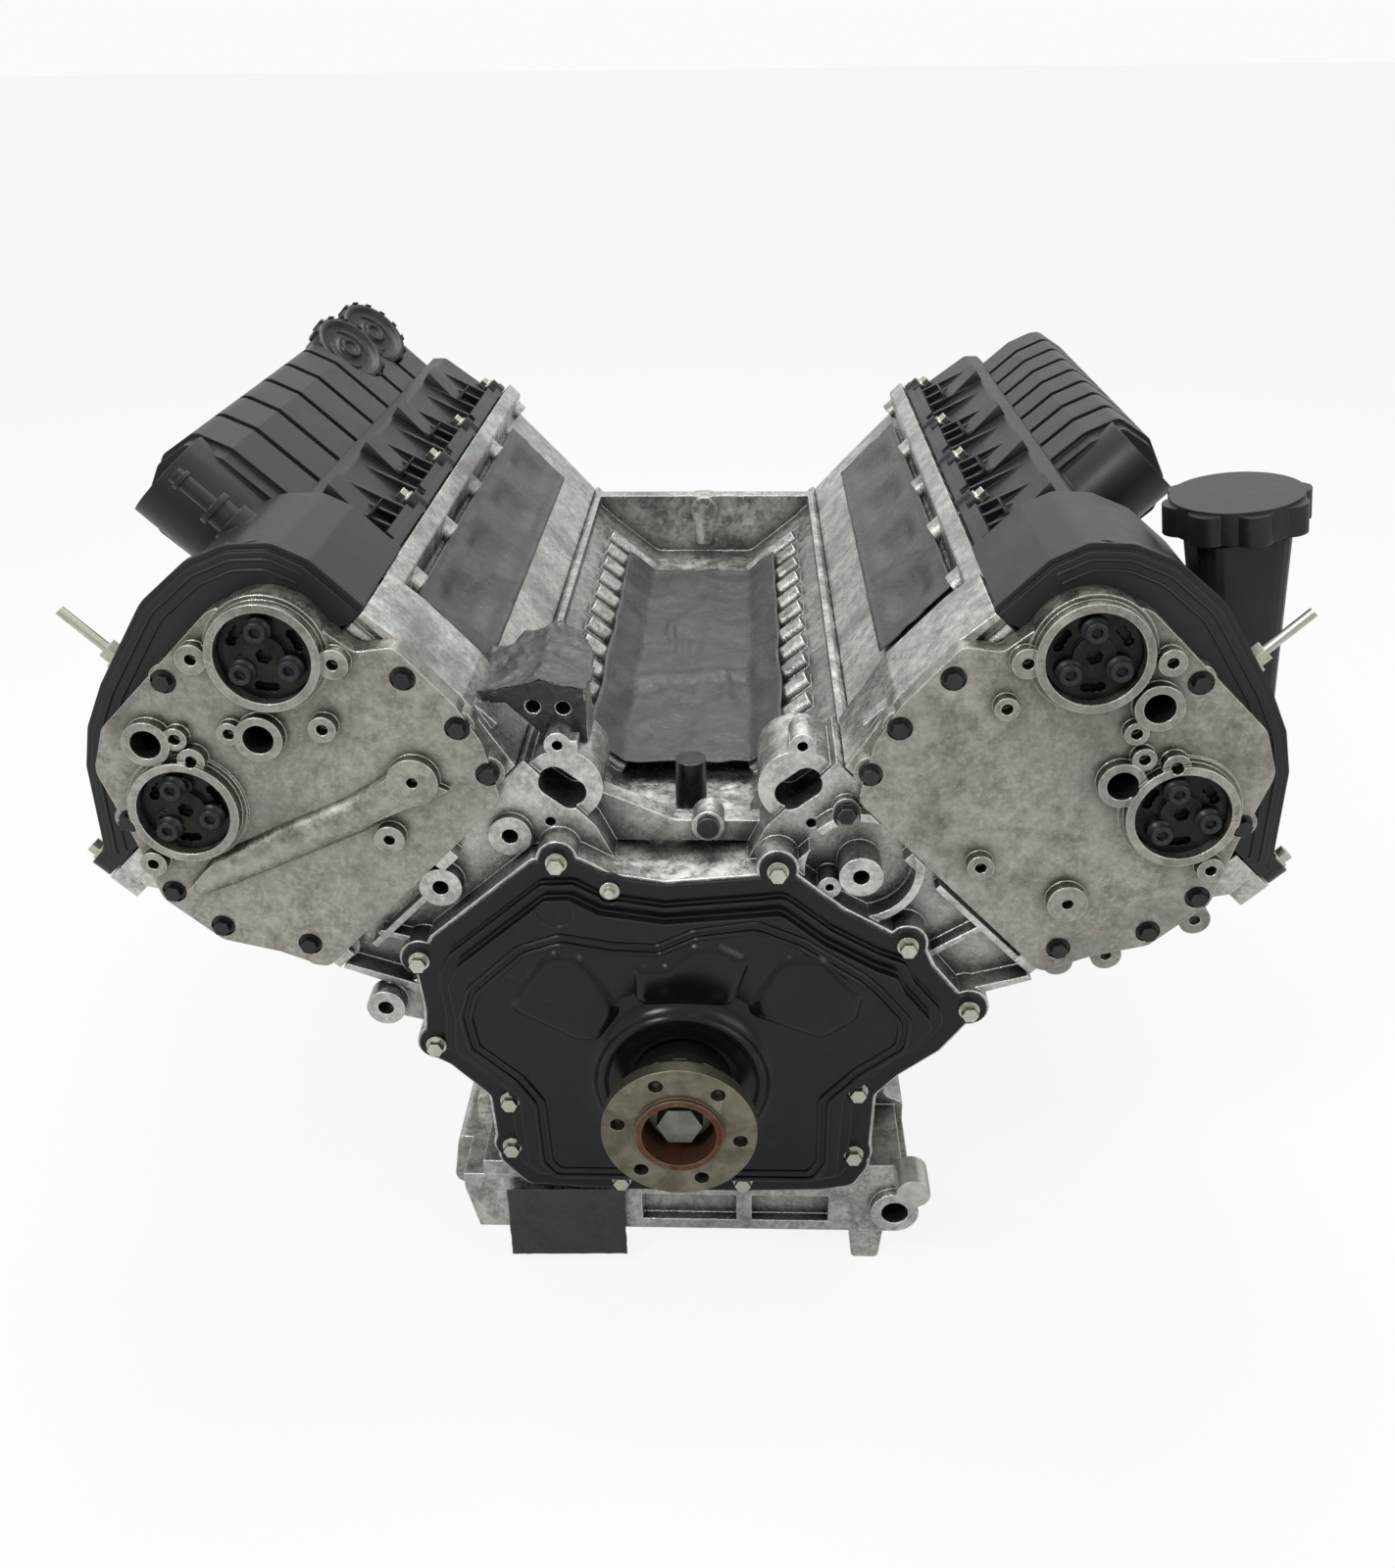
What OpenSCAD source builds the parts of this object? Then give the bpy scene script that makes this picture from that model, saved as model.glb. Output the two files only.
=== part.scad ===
// V8 long block with two overhead camshafts on each bank.
// The crankshaft axis is the Y axis and the front faces -Y.
// The origin is the centre of the hub flange's front face, and +Z is up.
// Bank outlines use u, across the bank and outward, and v, along the cylinders.

/* [Cylinders] */
// Distance between neighbouring cylinders of one bank
bore_pitch = 104; // [102:0.5:108]
// Cylinder bore
bore_dia = 92; // [86:0.5:93]
// Piston stroke
stroke = 84; // [78:1:86]
// Height of the deck above the crankshaft axis, along the cylinder
deck_height = 210; // [208:1:216]
// How far the right bank's cylinders sit behind the left bank's
bank_stagger = 16; // [0:1:18]

/* [Crankshaft] */
// Diameter of the main journals
main_journal_dia = 64; // [58:1:66]
// Diameter of the crank pins
crank_pin_dia = 54; // [48:1:56]
// Width of each main bearing
main_width = 26; // [22:1:28]
// Distance from the hub's front face to the first main bearing
first_main = 200; // [198:1:210]
// Diameter of the crankshaft nose
nose_dia = 26; // [22:1:27]
// Diameter of the hub flange
hub_flange_dia = 93; // [88:1:98]
// Thickness of the hub flange
hub_flange_t = 9; // [7:0.5:11]
// Bolt circle of the hub flange
hub_pcd = 74; // [70:1:78]
// Holes in the hub flange
hub_hole_dia = 9; // [7:0.5:11]
// Diameter of the hub barrel that runs in the seal
hub_barrel_dia = 60; // [54:1:64]
// Bolt circle of the flywheel flange
flywheel_pcd = 72; // [68:1:74]
// Threaded holes in the flywheel flange
flywheel_hole_dia = 9; // [8:0.5:10]

/* [Block] */
// Width of the sump flange
sump_width = 300; // [290:2:320]
// Depth of the crankcase below the crankshaft axis
skirt_depth = 104; // [100:1:112]
// Distance from the block's front wall to the face of the heads
chest_depth = 52; // [50:1:56]
// Thickness of the cast walls
wall = 8; // [6:0.5:9]

/* [Valve gear] */
// Intake camshaft, across the bank
cam_in_u = -36; // [-37:0.5:-34]
// Intake camshaft, along the bank
cam_in_v = 360; // [358:0.5:362]
// Exhaust camshaft, across the bank
cam_ex_u = 76; // [74:0.5:78]
// Exhaust camshaft, along the bank
cam_ex_v = 333; // [331:0.5:335]
// Height of the cam cover seal face, along the cylinder
cover_seat = 336; // [335:0.5:338]
// Pitch of the timing chains
chain_pitch = 6.35; // [6:0.05:6.5]
// Teeth of a crankshaft sprocket
crank_teeth = 18; // [16:1:18]
// Radius of the openings in front of the phasers
phaser_port_r = 27.5; // [26:0.5:29]

/* [Covers] */
// Wall of the moulded cam covers
cover_wall = 3.5; // [2.5:0.25:4]
// Thickness of the pressed timing cover
sheet = 2; // [1.5:0.25:2.5]
// Depth of the pressed timing cover's dome
dome_depth = 12; // [8:1:14]
// Diameter of the oil filler cap
filler_cap_dia = 86; // [78:1:92]
// Bore of the oil filler neck
filler_bore = 38; // [34:1:42]

/* [Fits] */
// Radial clearance of shafts in their bearings
run_fit = 0.05; // [0.02:0.01:0.08]
// Gap between fixed pieces that lie against each other
seat_gap = 0.2; // [0.1:0.05:0.3]
// Gap round bolts in their holes
bolt_gap = 0.3; // [0.2:0.05:0.5]

/* [Hidden] */
$fn = 48;

// Places along the crankshaft
head_front = 84;
chest_rear = head_front + chest_depth;
cover_face = 66;
bays = 4;
mains_end = first_main + bays * bore_pitch;
block_rear = mains_end + 60;
head_rear = block_rear - 6;
gasket_t = 1.2;
head_base = deck_height + gasket_t;
left_ring_y = 60;
right_ring_y = 62;

function main_y(k) = first_main + k * bore_pitch;
function cyl_y(side, k) = main_y(k) + bore_pitch / 2 + side * bank_stagger / 2;

// Radii inside the crankcase
main_r = main_journal_dia / 2;
pin_r = crank_pin_dia / 2;
throw = stroke / 2;
rod_len = deck_height - 30 - throw;
shell_t = 2.5;
saddle_r = main_r + run_fit + shell_t;
web_r = throw + pin_r + 5;
crankcase_r = web_r + 18;
bore_r = bore_dia / 2;
liner_r = bore_r + 3;
piston_len = 48;
piston_low = deck_height - 0.5 - stroke - piston_len;

// Timing drive
crank_pr = chain_pitch * crank_teeth / (2 * PI);
cam_pr = 2 * crank_pr;
tooth_out = 1.2;
tooth_in = 2.4;
chain_in = tooth_out + 0.4;
chain_out = 5.2;
chain_w = 8;
right_chain_y = 108;
left_chain_y = 122;
guide_t = 5;
guide_gap = 0.5;
arm_low = 0.2;
arm_high = 0.88;

function chain_y(side) = side > 0 ? right_chain_y : left_chain_y;
function ring_y(side) = side > 0 ? right_ring_y : left_ring_y;

// Camshafts
cam_journal_r = 10.5;
cam_base_r = 13;
cam_lift = 7;
cam_tower_w = 20;

// Cam cover bolts, along the inner rail
rail_bolt_u = -69;
outer_bolt_u = 150;
rail_first = head_front + 12;
function outer_u(k) = k == 0 ? outer_bolt_u + 10 : outer_bolt_u;
function rail_y(k) = k < 5 ? rail_first + k * bore_pitch : head_rear - 19;
boss_h = 14;

// Drawing helpers

// Corner of an outline, rounded to the radius in its third number
function corner(a, p, b) =
  let (r = len(p) > 2 ? p[2] : 0)
  r == 0 ? [[p[0], p[1]]] :
  let (
    ua = unit([a[0] - p[0], a[1] - p[1]]),
    ub = unit([b[0] - p[0], b[1] - p[1]])
  )
  ua * ub < -0.9998 ? [[p[0], p[1]]] :
  let (
    half = acos(ua * ub) / 2,
    run = min(r / tan(half), 0.48 * norm([a[0] - p[0], a[1] - p[1]]),
      0.48 * norm([b[0] - p[0], b[1] - p[1]])),
    rr = run * tan(half),
    c = [p[0], p[1]] + unit(ua + ub) * rr / sin(half),
    s = [p[0], p[1]] + ua * run - c,
    e = [p[0], p[1]] + ub * run - c,
    a0 = atan2(s[1], s[0]),
    turn = atan2(s[0] * e[1] - s[1] * e[0], s * e),
    n = r > 12 ? 6 : 4
  )
  [for (i = [0:n]) c + rr * [cos(a0 + turn * i / n), sin(a0 + turn * i / n)]];

function unit(p) = p / norm(p);

function rounded(pts) =
  let (n = len(pts))
  [for (i = [0:n - 1]) each corner(pts[(i + n - 1) % n], pts[i], pts[(i + 1) % n])];

// Outline moved inward by d, for outlines that run counter-clockwise
function inset(pts, d) =
  let (n = len(pts))
  [for (i = [0:n - 1])
    let (
      p = [pts[i][0], pts[i][1]],
      a = unit(p - [pts[(i + n - 1) % n][0], pts[(i + n - 1) % n][1]]),
      b = unit([pts[(i + 1) % n][0], pts[(i + 1) % n][1]] - p),
      na = [-a[1], a[0]],
      nb = [-b[1], b[0]],
      q = p + d * (na + nb) / (1 + na * nb)
    )
    len(pts[i]) > 2 ? [q[0], q[1], pts[i][2]] : q];

// Solid from an outline in X and Z, between two places along Y
module prism(pts, y0, y1) {
  translate([0, y1, 0])
    rotate([90, 0, 0])
      linear_extrude(height = y1 - y0)
        polygon(pts);
}

// Places a bank's pieces: local x is u, local y is y and local z is v
module bank(side) {
  mirror([side < 0 ? 1 : 0, 0, 0])
    rotate([0, 45, 0])
      children();
}

module both_banks() {
  bank(1) children();
  bank(-1) children();
}

// Round bar along Y
module rod_y(x, z, r, y0, y1) {
  translate([x, y1, z])
    rotate([90, 0, 0])
      cylinder(r = r, h = y1 - y0);
}

// Ring along Y
module ring_solid(x, z, ro, ri, y0, y1) {
  difference() {
    rod_y(x, z, ro, y0, y1);
    rod_y(x, z, ri, y0 - 1, y1 + 1);
  }
}

// Flanged hexagon bolt along +Y whose seat is at y
module bolt_y(x, z, y, shank_r, shank_l, across) {
  rod_y(x, z, shank_r, y - 0.01, y + shank_l);
  rod_y(x, z, across * 0.72, y - 1.6, y);
  translate([x, y - 1.6, z])
    rotate([90, 0, 0])
      cylinder(d = across / cos(30), h = across * 0.6, $fn = 6);
}

// Flanged hexagon bolt down the bank whose seat is at v
module bolt_v(u, y, v, shank_r, shank_l, across) {
  translate([u, y, v - shank_l])
    cylinder(r = shank_r, h = shank_l + 0.01);
  translate([u, y, v])
    cylinder(r = across * 0.72, h = 1.6);
  translate([u, y, v + 1.6])
    cylinder(d = across / cos(30), h = across * 0.6, $fn = 6);
}

// Outlines

// Half of the block's section, from the sump flange to the valley floor
half_block = [[0, -skirt_depth - 3], [sump_width / 2, -skirt_depth - 3],
  [sump_width / 2, 14 - skirt_depth, 4], [sump_width / 2 - 13, 20 - skirt_depth, 6],
  [132, -24, 16], [117, 12, 12], [bx(66, 96), bz(66, 96), 10], [bx(66, deck_height + 4), bz(66, deck_height + 4)],
  [bx(-64, deck_height + 4), bz(-64, deck_height + 4)], [bx(-64, deck_height - 26), bz(-64, deck_height - 26), 6],
  [44, 142, 14], [0, 142]];

function bx(u, v) = (u + v) / sqrt(2);
function bz(u, v) = (v - u) / sqrt(2);
function flip(pts) = [for (i = [len(pts) - 1:-1:0]) len(pts[i]) > 2
  ? [-pts[i][0], pts[i][1], pts[i][2]] : [-pts[i][0], pts[i][1]]];

block_section = concat(half_block, [for (p = flip(half_block)) if (p[0] != 0) p]);

// Edge of the pressed timing cover, without its bolt ears
cover_edge = [[-42, -106, 8], [38, -106, 8], [89, -104], [110, -100, 10], [119, -84, 10],
  [121, -24, 8], [136, -7], [160, 12, 10], [176, 34, 6], [170, 53, 6], [153, 74, 6], [146, 90, 6],
  [126, 98, 10], [98, 114], [66, 140, 10], [44, 137], [-9, 132], [-41, 137, 12], [-60, 148, 8],
  [-88, 147, 6], [-152, 92, 6], [-163, 70, 6], [-160, 40], [-163, 6, 6], [-148, -3], [-124, -28, 10],
  [-121, -82, 12], [-104, -102, 10]];
cover_bolts = [[-161, 77], [-156, 13], [-112, -31], [-113, -69], [-42, -96], [38, -96],
  [110, -72], [111, -20], [177, 44], [137, 91], [58, 143], [-73, 148]];
cover_stud = [-42, 129];
cover_ear_r = 11;

// Outline of a bank's front arm on the block, and of the chain's way through it
arm_edge = [[-56, 88], [62, 88], [104, 178, 10], [110, deck_height + 3], [-80, deck_height + 3], [-78, 150, 10]];
arm_way = [[-34, 20], [34, 20], [62, 99], [98, deck_height + 1], [-70, deck_height + 1], [-54, 130]];

// Outline of the chest in the head, and of the chain's way through it
chest_edge = [[-74, head_base], [106, head_base], [119, 230, 6], [139, 258, 8], [141, 300, 8],
  [152, 316, 6], [152, cover_seat], [-86, cover_seat], [-88, 310, 4], [-86, 262, 6], [-80, 238, 6]];
chest_way = [[-65, head_base - 1], [98, head_base - 1], [112, 234], [132.5, 262, 4],
  [133, cover_seat + 1], [-82, cover_seat + 1], [-82, 262], [-74, 236]];

// Edge of an upper front cover
front_edge = [[-58, 205, 10], [108, 203, 8], [120, 232, 10], [138, 262, 10], [140, 306, 12],
  [118, 342, 10], [96, 386, 16], [70, 399, 10], [-34, 399, 20], [-60, 380, 14], [-69, 345, 8],
  [-71, 326, 6], [-89, 312, 8], [-86, 264, 8], [-79, 238, 10]];
front_bolts = [[-78, 296], [-76, 254], [-66, 222], [102, 222], [130, 268], [131, 304],
  [110, 352], [20, 391]];

// Section of a cylinder head behind its chest
head_section = [[-62, head_base], [74, head_base], [96, 238, 4], [126, 298, 8], [150, 316, 4],
  [158, 322], [158, cover_seat], [-80, cover_seat], [-80, 323, 3], [-66, 314, 4], [-64, 250, 3]];
cam_box = [[-54, 306, 6], [40, 306, 6], [60, 300], [120, 300, 6], [138, 322], [138, cover_seat + 1],
  [-58, cover_seat + 1]];

// Section of a cam cover over the phasers, and behind them
arch_edge = [[-84, cover_seat + 1.2], [150, cover_seat + 1.2], [150, 346, 4], [128, 368, 9], [108, 388, 12],
  [86, 402, 14], [58, 412, 14], [0, 425, 30], [-36, 422, 24], [-60, 412, 18], [-77, 396, 14],
  [-84, 376, 8]];
main_edge = [[-66, cover_seat + 1.2], [142, cover_seat + 1.2], [139, 350, 8], [118, 374, 14], [90, 390, 16],
  [40, 398, 20], [-30, 402, 4], [-36, 402], [-50, 402, 3], [-58, 394, 6]];
function box_edge(side) =
  let (h = side > 0 ? 0 : 24)
  [[-44, 396], [24, 396], [26, 430 + h, 6], [18, 447 + h, 8], [-10, 457 + h, 8], [-34, 452 + h, 8],
    [-42, 430 + h, 4]];
seal_t = 1.2;
cover_base = cover_seat + seal_t;
arch_front = head_front + 0.3;
arch_rear = 196;
cover_rear = head_rear - 6;
function box_front(side) = side > 0 ? 312 : 214;
box_rear = cover_rear - 10;

// Engine block

module block_body() {
  prism(rounded(block_section), chest_rear - 2, block_rear);
  // Front chest round the lower timing cover
  prism(rounded(inset(cover_edge, -2)), cover_face, chest_rear + wall);
  for (b = cover_bolts)
    rod_y(b[0], b[1], cover_ear_r + 1.6, cover_face, cover_face + 30);
  // Arms that carry the chain up to the heads
  both_banks()
    prism(rounded(arm_edge), head_front, chest_rear + wall + 1.5);
  // Sump flange under the chest
  prism([[-136, -skirt_depth - 3], [sump_width / 2 - 6, -skirt_depth - 3],
    [sump_width / 2 - 6, 12 - skirt_depth], [-136, 12 - skirt_depth]], cover_face + 7.5, chest_rear + 1);
  // Rear flange for the gearbox
  prism(rounded([[-150, -skirt_depth - 3], [150, -skirt_depth - 3], [176, -60, 20], [190, 20, 30],
    [172, 110, 30], [110, 178, 20], [70, 160, 20], [-70, 160, 20], [-110, 178, 20], [-172, 110, 30],
    [-190, 20, 30], [-176, -60, 20]]), block_rear - 14, block_rear);
}

// Ribs of the crankcase sides, one at each main bearing
module skirt_ribs() {
  for (k = [0:bays])
    for (s = [-1, 1])
      translate([0, main_y(k) + 4, 0])
        rotate([90, 0, 0])
          linear_extrude(height = 8)
            polygon(s > 0 ? rib_outline : flip(rib_outline));
}
rib_outline = [[112, 4], [120, -60], [sump_width / 2 - 8, 16 - skirt_depth], [140, -40], [128, 14],
  [bx(78, 120), bz(78, 120)], [bx(60, 120), bz(60, 120)]];

// Half-round ribs on both walls of the valley, a wall across its rear and its rails
module valley_shapes() {
  rib_step = bore_pitch / 3;
  for (s = [-1, 1])
    mirror([s < 0 ? 1 : 0, 0, 0]) {
      for (y = [chest_rear + 60:rib_step:block_rear - 90])
        translate([45, y, 142])
          rotate([0, 50.8, 0])
            cylinder(r = 9, h = 52);
      // Rail along the top of the wall
      prism([[86, 164], [100, 158], [107, 190], [107, 196], [97, 196], [97, 186]],
        chest_rear, block_rear - 24);
    }
  // Rear wall
  prism([[-98, 140], [98, 140], [107, 190], [107, 196], [-107, 196], [-107, 190]],
    block_rear - 38, block_rear - 24);
  rod_y(0, 184, 12, block_rear - 44, block_rear - 24);
  translate([0, block_rear - 31, 150])
    cylinder(r = 12, h = 46);
  // Low front wall with a lip, and its boss
  prism(rounded([[-96, 140], [96, 140], [104, 193], [92, 196, 6], [66, 176, 8], [50, 154, 8],
    [-4, 154, 8], [-54, 176, 8], [-92, 196, 6], [-104, 193]]), 104, 118);
  rod_y(16, 152, 10, 100, 118);
}

// Coolant outlets: a two-ear flange on a stub that runs back to the block
module outlet(side) {
  x = side * 70;
  z = 186;
  rod_y(x, z, 24, 88, chest_rear + 4);
  rod_y(x + side * 2, z + 27, 8, 88, 112);
  rod_y(x + side * 8, z - 22, 8, 88, 112);
  prism([[x - 9, z - 6], [x + 10, z - 6], [x + 10, z + 30], [x - 6, z + 30]], 88, 100);
  prism([[x - 12 + side * 6, z - 26], [x + 12 + side * 6, z - 26], [x + 12, z], [x - 12, z]], 88, 100);
}

module outlet_holes(side) {
  x = side * 70;
  z = 186;
  for (t = [-5:2.5:5])
    rod_y(x + side * t, z + t * 0.8, 9, 80, 118);
  rod_y(x + side * 2, z + 27, 3.2, 80, 106);
  rod_y(x + side * 8, z - 22, 3.2, 80, 106);
}

// Castings on the block's front: idler seat, bosses and struts
module front_castings() {
  // Idler seat with its C-shaped wall
  rod_y(107, 140, 13, 62, head_front + 2);
  difference() {
    ring_solid(107, 140, 38, 33, 70, head_front + 2);
    translate([107 - 50, 66, 140 - 6])
      rotate([0, -45, 0])
        cube([40, 30, 60]);
  }
  rod_y(89, 129, 7, 68, head_front + 2);
  rod_y(98, 176, 8, 78, head_front + 10);
  // Triangular struts outboard of the idler
  bank(1) {
    prism([[60, 118], [104, 196], [108, 196], [66, 112]], 70, head_front + 1);
    prism([[20, 196], [100, 196], [100, 200], [20, 200]], 74, head_front + 1);
    prism([[44, 132], [48, 132], [62, 196], [58, 196]], 74, head_front + 1);
  }
  // Bosses of the left side
  rod_y(-102, 157, 13, 78, head_front + 10);
  rod_y(-146, 123, 13, 74, head_front + 10);
  bank(-1) {
    prism([[56, 110], [98, 196], [102, 196], [62, 104]], 70, head_front + 1);
    prism([[14, 190], [78, 190], [78, 194], [14, 194]], 74, head_front + 1);
    prism([[30, 134], [34, 134], [70, 196], [66, 196]], 74, head_front + 1);
  }
  rod_y(-185, 42, 12, 62, 76);
  prism([[-186, 31], [-150, 22], [-128, 40], [-150, 58], [-186, 54]], 72, chest_rear + 2);
  // Bracket under the tape
  prism(rounded([[-88, 196], [-84, 212.5], [-108, 237.6, 3], [-84, 244.3, 4], [-57, 238, 3], [-55, 196]]),
    108, chest_rear + 2);
  // Tabs of the head gasket line
  both_banks()
    for (u = [-2, 98])
      translate([u - 7, head_front - 12, deck_height - 13])
        cube([14, 14, 12.9]);
}

module front_casting_holes() {
  rod_y(98, 176, 3 + bolt_gap, 76, 94);
  rod_y(107, 140, 5, 56, 100);
  rod_y(89, 129, 2.6, 60, 84);
  rod_y(-102, 157, 5, 70, 94);
  rod_y(-146, 123, 5, 70, 94);
  rod_y(-185, 42, 5, 55, 82);
  rod_y(-88, 229, 4.5, 100, 130);
  rod_y(-70, 228, 4.5, 100, 130);
  rod_y(16, 152, 4, 90, 112);
}

module chest_hollow() {
  prism(rounded(inset(cover_edge, wall + 5)), cover_face - 1, chest_rear);
  bank(1)
    prism(rounded(arm_way), head_front + wall, chest_rear - 0.8);
  bank(-1)
    prism(rounded(arm_way), head_front + wall + 0.8, chest_rear - 1.6);
  for (b = cover_bolts)
    rod_y(b[0], b[1], 3 + bolt_gap, cover_face - 1, cover_face + 20);
}

// Hollow for the crankshaft, the bores and the bearing saddles
module crankcase_hollow() {
  low = -skirt_depth - 5;
  for (k = [0:bays - 1]) {
    y0 = main_y(k) + main_width / 2;
    y1 = main_y(k + 1) - main_width / 2;
    rod_y(0, 0, crankcase_r, y0, y1);
    translate([-108, y0, low])
      cube([216, y1 - y0, -low]);
  }
  // Recesses for the bearing caps
  for (k = [0:bays])
    translate([-62 - seat_gap, main_y(k) - main_width / 2 - 1, low])
      cube([124 + 2 * seat_gap, main_width + 2, -low]);
  rod_y(0, 0, saddle_r, chest_rear - 1, block_rear + 1);
  // Room in front of the first main bearing and behind the last
  rod_y(0, 0, 50, mains_end + main_width / 2 + 8, block_rear + 1);
  for (s = [-1, 1])
    bank(s)
      for (k = [0:bays - 1])
        translate([0, cyl_y(s, k), 0]) {
          translate([0, 0, piston_low - 3])
            cylinder(r = bore_r + 0.6, h = deck_height);
          translate([0, 0, crankcase_r - 4])
            cylinder(r = liner_r + 0.05, h = deck_height);
        }
}

module engine_block() {
  color("darkgray")
    difference() {
      union() {
        block_body();
        skirt_ribs();
        valley_shapes();
        outlet(1);
        outlet(-1);
        front_castings();
      }
      chest_hollow();
      crankcase_hollow();
      outlet_holes(1);
      outlet_holes(-1);
      front_casting_holes();
      // Flat face for the sump
      translate([-200, cover_face + 6, -skirt_depth - 20])
        cube([400, block_rear, 20]);
      // Room for the front covers and for the head of a bolt
      both_banks()
        prism(rounded(inset(front_edge, -0.4)), cover_face - 10, head_front + 0.1);
      for (s = [-1, 1])
        bank(s)
          for (b = lugs(s))
            rod_y(b[0], b[1], 10, head_front - 10, head_front + 0.1);
      rod_y(98, 176, 8, cover_face - 10, 78);
      // Nothing of the block stands above either deck
      both_banks()
        translate([-90, head_front - 4, deck_height])
          cube([250, block_rear, 60]);
    }
}

module cylinder_liners() {
  color("dimgray")
    for (s = [-1, 1])
      bank(s)
        for (k = [0:bays - 1])
          translate([0, cyl_y(s, k), crankcase_r - 4])
            difference() {
              cylinder(r = liner_r, h = deck_height - crankcase_r + 4);
              translate([0, 0, -1])
                cylinder(r = bore_r, h = deck_height);
            }
}

module main_bearing_caps() {
  color("gray")
    for (k = [0:bays])
      translate([0, main_y(k), 0])
        difference() {
          prism(rounded([[-62, -1], [-62, -46, 6], [-40, -66, 10], [40, -66, 10], [62, -46, 6],
            [62, 0], [-62, 0]]), -main_width / 2, main_width / 2);
          rod_y(0, 0, saddle_r, -main_width, main_width);
          for (x = [-50, 50])
            translate([x, 0, -70])
              cylinder(r = 6, h = 30);
        }
}

module main_bearing_shells() {
  color("silver")
    for (k = [0:bays])
      ring_solid(0, 0, saddle_r - 0.02, main_r + run_fit,
        main_y(k) - main_width / 2 + 2, main_y(k) + main_width / 2 - 2);
}

// Sump, front fittings and rear seal

sump_drop = 46;
pan_drop = 26;
sump_edge = [[-142, -skirt_depth - sump_drop], [142, -skirt_depth - sump_drop],
  [sump_width / 2, -skirt_depth - 12, 6], [sump_width / 2, -skirt_depth],
  [-sump_width / 2, -skirt_depth], [-sump_width / 2, -skirt_depth - 12, 6]];

module upper_sump() {
  low = -skirt_depth - sump_drop;
  color("silver")
    difference() {
      union() {
        prism(rounded(sump_edge), cover_face + 8, block_rear);
        // Step of the left front corner
        prism(rounded([[-166, low + 4, 8], [-140, low + 4], [-140, -skirt_depth],
          [-160, -skirt_depth, 6]]), 110, 176);
        // Feet of the front corners
        for (x = [-106, 122])
          prism(rounded([[x - 9, low - pan_drop, 3], [x + 9, low - pan_drop, 3], [x + 12, low + 1],
            [x - 12, low + 1]]), cover_face + 10, cover_face + 34);
        // Side tube at the right front corner
        rod_y(140, -skirt_depth - 24, 16, cover_face + 2, cover_face + 40);
      }
      translate([-118, cover_face + 20, low + 6])
        cube([236, block_rear - cover_face - 32, sump_drop]);
      // Way down to the lower pan
      translate([-100, cover_face + 60, low - 1])
        cube([200, block_rear - cover_face - 110, 12]);
      // Shallow front pockets
      translate([-30, cover_face + 7, low + 8])
        cube([64, 8, 22]);
      translate([44, cover_face + 7, low + 8])
        cube([52, 8, 22]);
      rod_y(140, -skirt_depth - 24, 9, cover_face, cover_face + 22);
    }
}

module lower_pan() {
  low = -skirt_depth - sump_drop;
  color("dimgray")
    difference() {
      union() {
        prism(rounded([[-118, low - pan_drop, 10], [118, low - pan_drop, 10], [126, low - 5],
          [134, low - 5], [134, low], [-134, low], [-134, low - 5], [-126, low - 5]]),
          cover_face + 40, block_rear - 8);
      }
      translate([-112, cover_face + 46, low - pan_drop + 3])
        cube([224, block_rear - cover_face - 62, pan_drop + 4]);
    }
}

module rear_seal_carrier() {
  color("black")
    difference() {
      prism(rounded([[-64, -70, 8], [64, -70, 8], [72, 20, 12], [44, 70, 14], [-44, 70, 14],
        [-72, 20, 12]]), block_rear + seat_gap, block_rear + 9);
      rod_y(0, 0, 45 + 0.3, block_rear - 2, block_rear + 12);
    }
}

// Plug, tube and clips on the block's front and side
module block_fittings() {
  color("slategray") {
    rod_y(149, -94, 11, 50, cover_face + 7.5 - seat_gap);
    // Black pipe that stands at the front of the valley
    translate([4, 148, 142 + seat_gap])
      cylinder(r = 10, h = 32);
    // Bolt in the right boss
    bolt_y(98, 176, 78 - seat_gap, 3, 12, 10);
    // Sealing plug of the left valley boss
    rod_y(16, 152, 7, 97, 100 - seat_gap);
  }
}

// Crankshaft

throw_angles = [45, 135, 315, 225];

// Outline of one web, with its pin towards +Z
web_outline = concat(
  [for (a = [200:10:340]) web_r * [cos(a), sin(a)]],
  [[pin_r + 8, throw - 16]],
  [for (a = [-10:20:190]) [0, throw] + (pin_r + 4.5) * [cos(a), sin(a)]],
  [[-pin_r - 8, throw - 16]]);

module crankshaft() {
  web_t = 15;
  color("dimgray")
    difference() {
      union() {
        for (k = [0:bays])
          rod_y(0, 0, main_r, main_y(k) - main_width / 2 - 2, main_y(k) + main_width / 2 + 2);
        for (k = [0:bays - 1])
          rotate([0, throw_angles[k], 0]) {
            y0 = main_y(k) + main_width / 2 + 1;
            y1 = main_y(k + 1) - main_width / 2 - 1;
            prism(web_outline, y0, y0 + web_t);
            prism(web_outline, y1 - web_t, y1);
            rod_y(0, throw, pin_r, y0, y1);
          }
        // Nose and flywheel flange
        rod_y(0, 0, nose_dia / 2, 24, main_y(0));
        rod_y(0, 0, 45, mains_end + main_width / 2 + 12, block_rear + 8);
        rod_y(0, 0, main_r, main_y(bays), mains_end + main_width / 2 + 14);
      }
      for (i = [0:7])
        rotate([0, i * 45, 0])
          rod_y(flywheel_pcd / 2, 0, flywheel_hole_dia / 2, block_rear - 20, block_rear + 9);
      rod_y(0, 0, 11, block_rear - 16, block_rear + 9);
      rod_y(0, 0, 8 + bolt_gap, 20, 72);
    }
}

// Toothed wheel outline
function sprocket(teeth, pr) =
  [for (i = [0:teeth - 1])
    for (s = [[-0.32, -tooth_in], [-0.12, tooth_out], [0.12, tooth_out], [0.32, -tooth_in]])
      (pr + s[1]) * [cos((i + s[0]) * 360 / teeth), sin((i + s[0]) * 360 / teeth)]];

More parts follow.
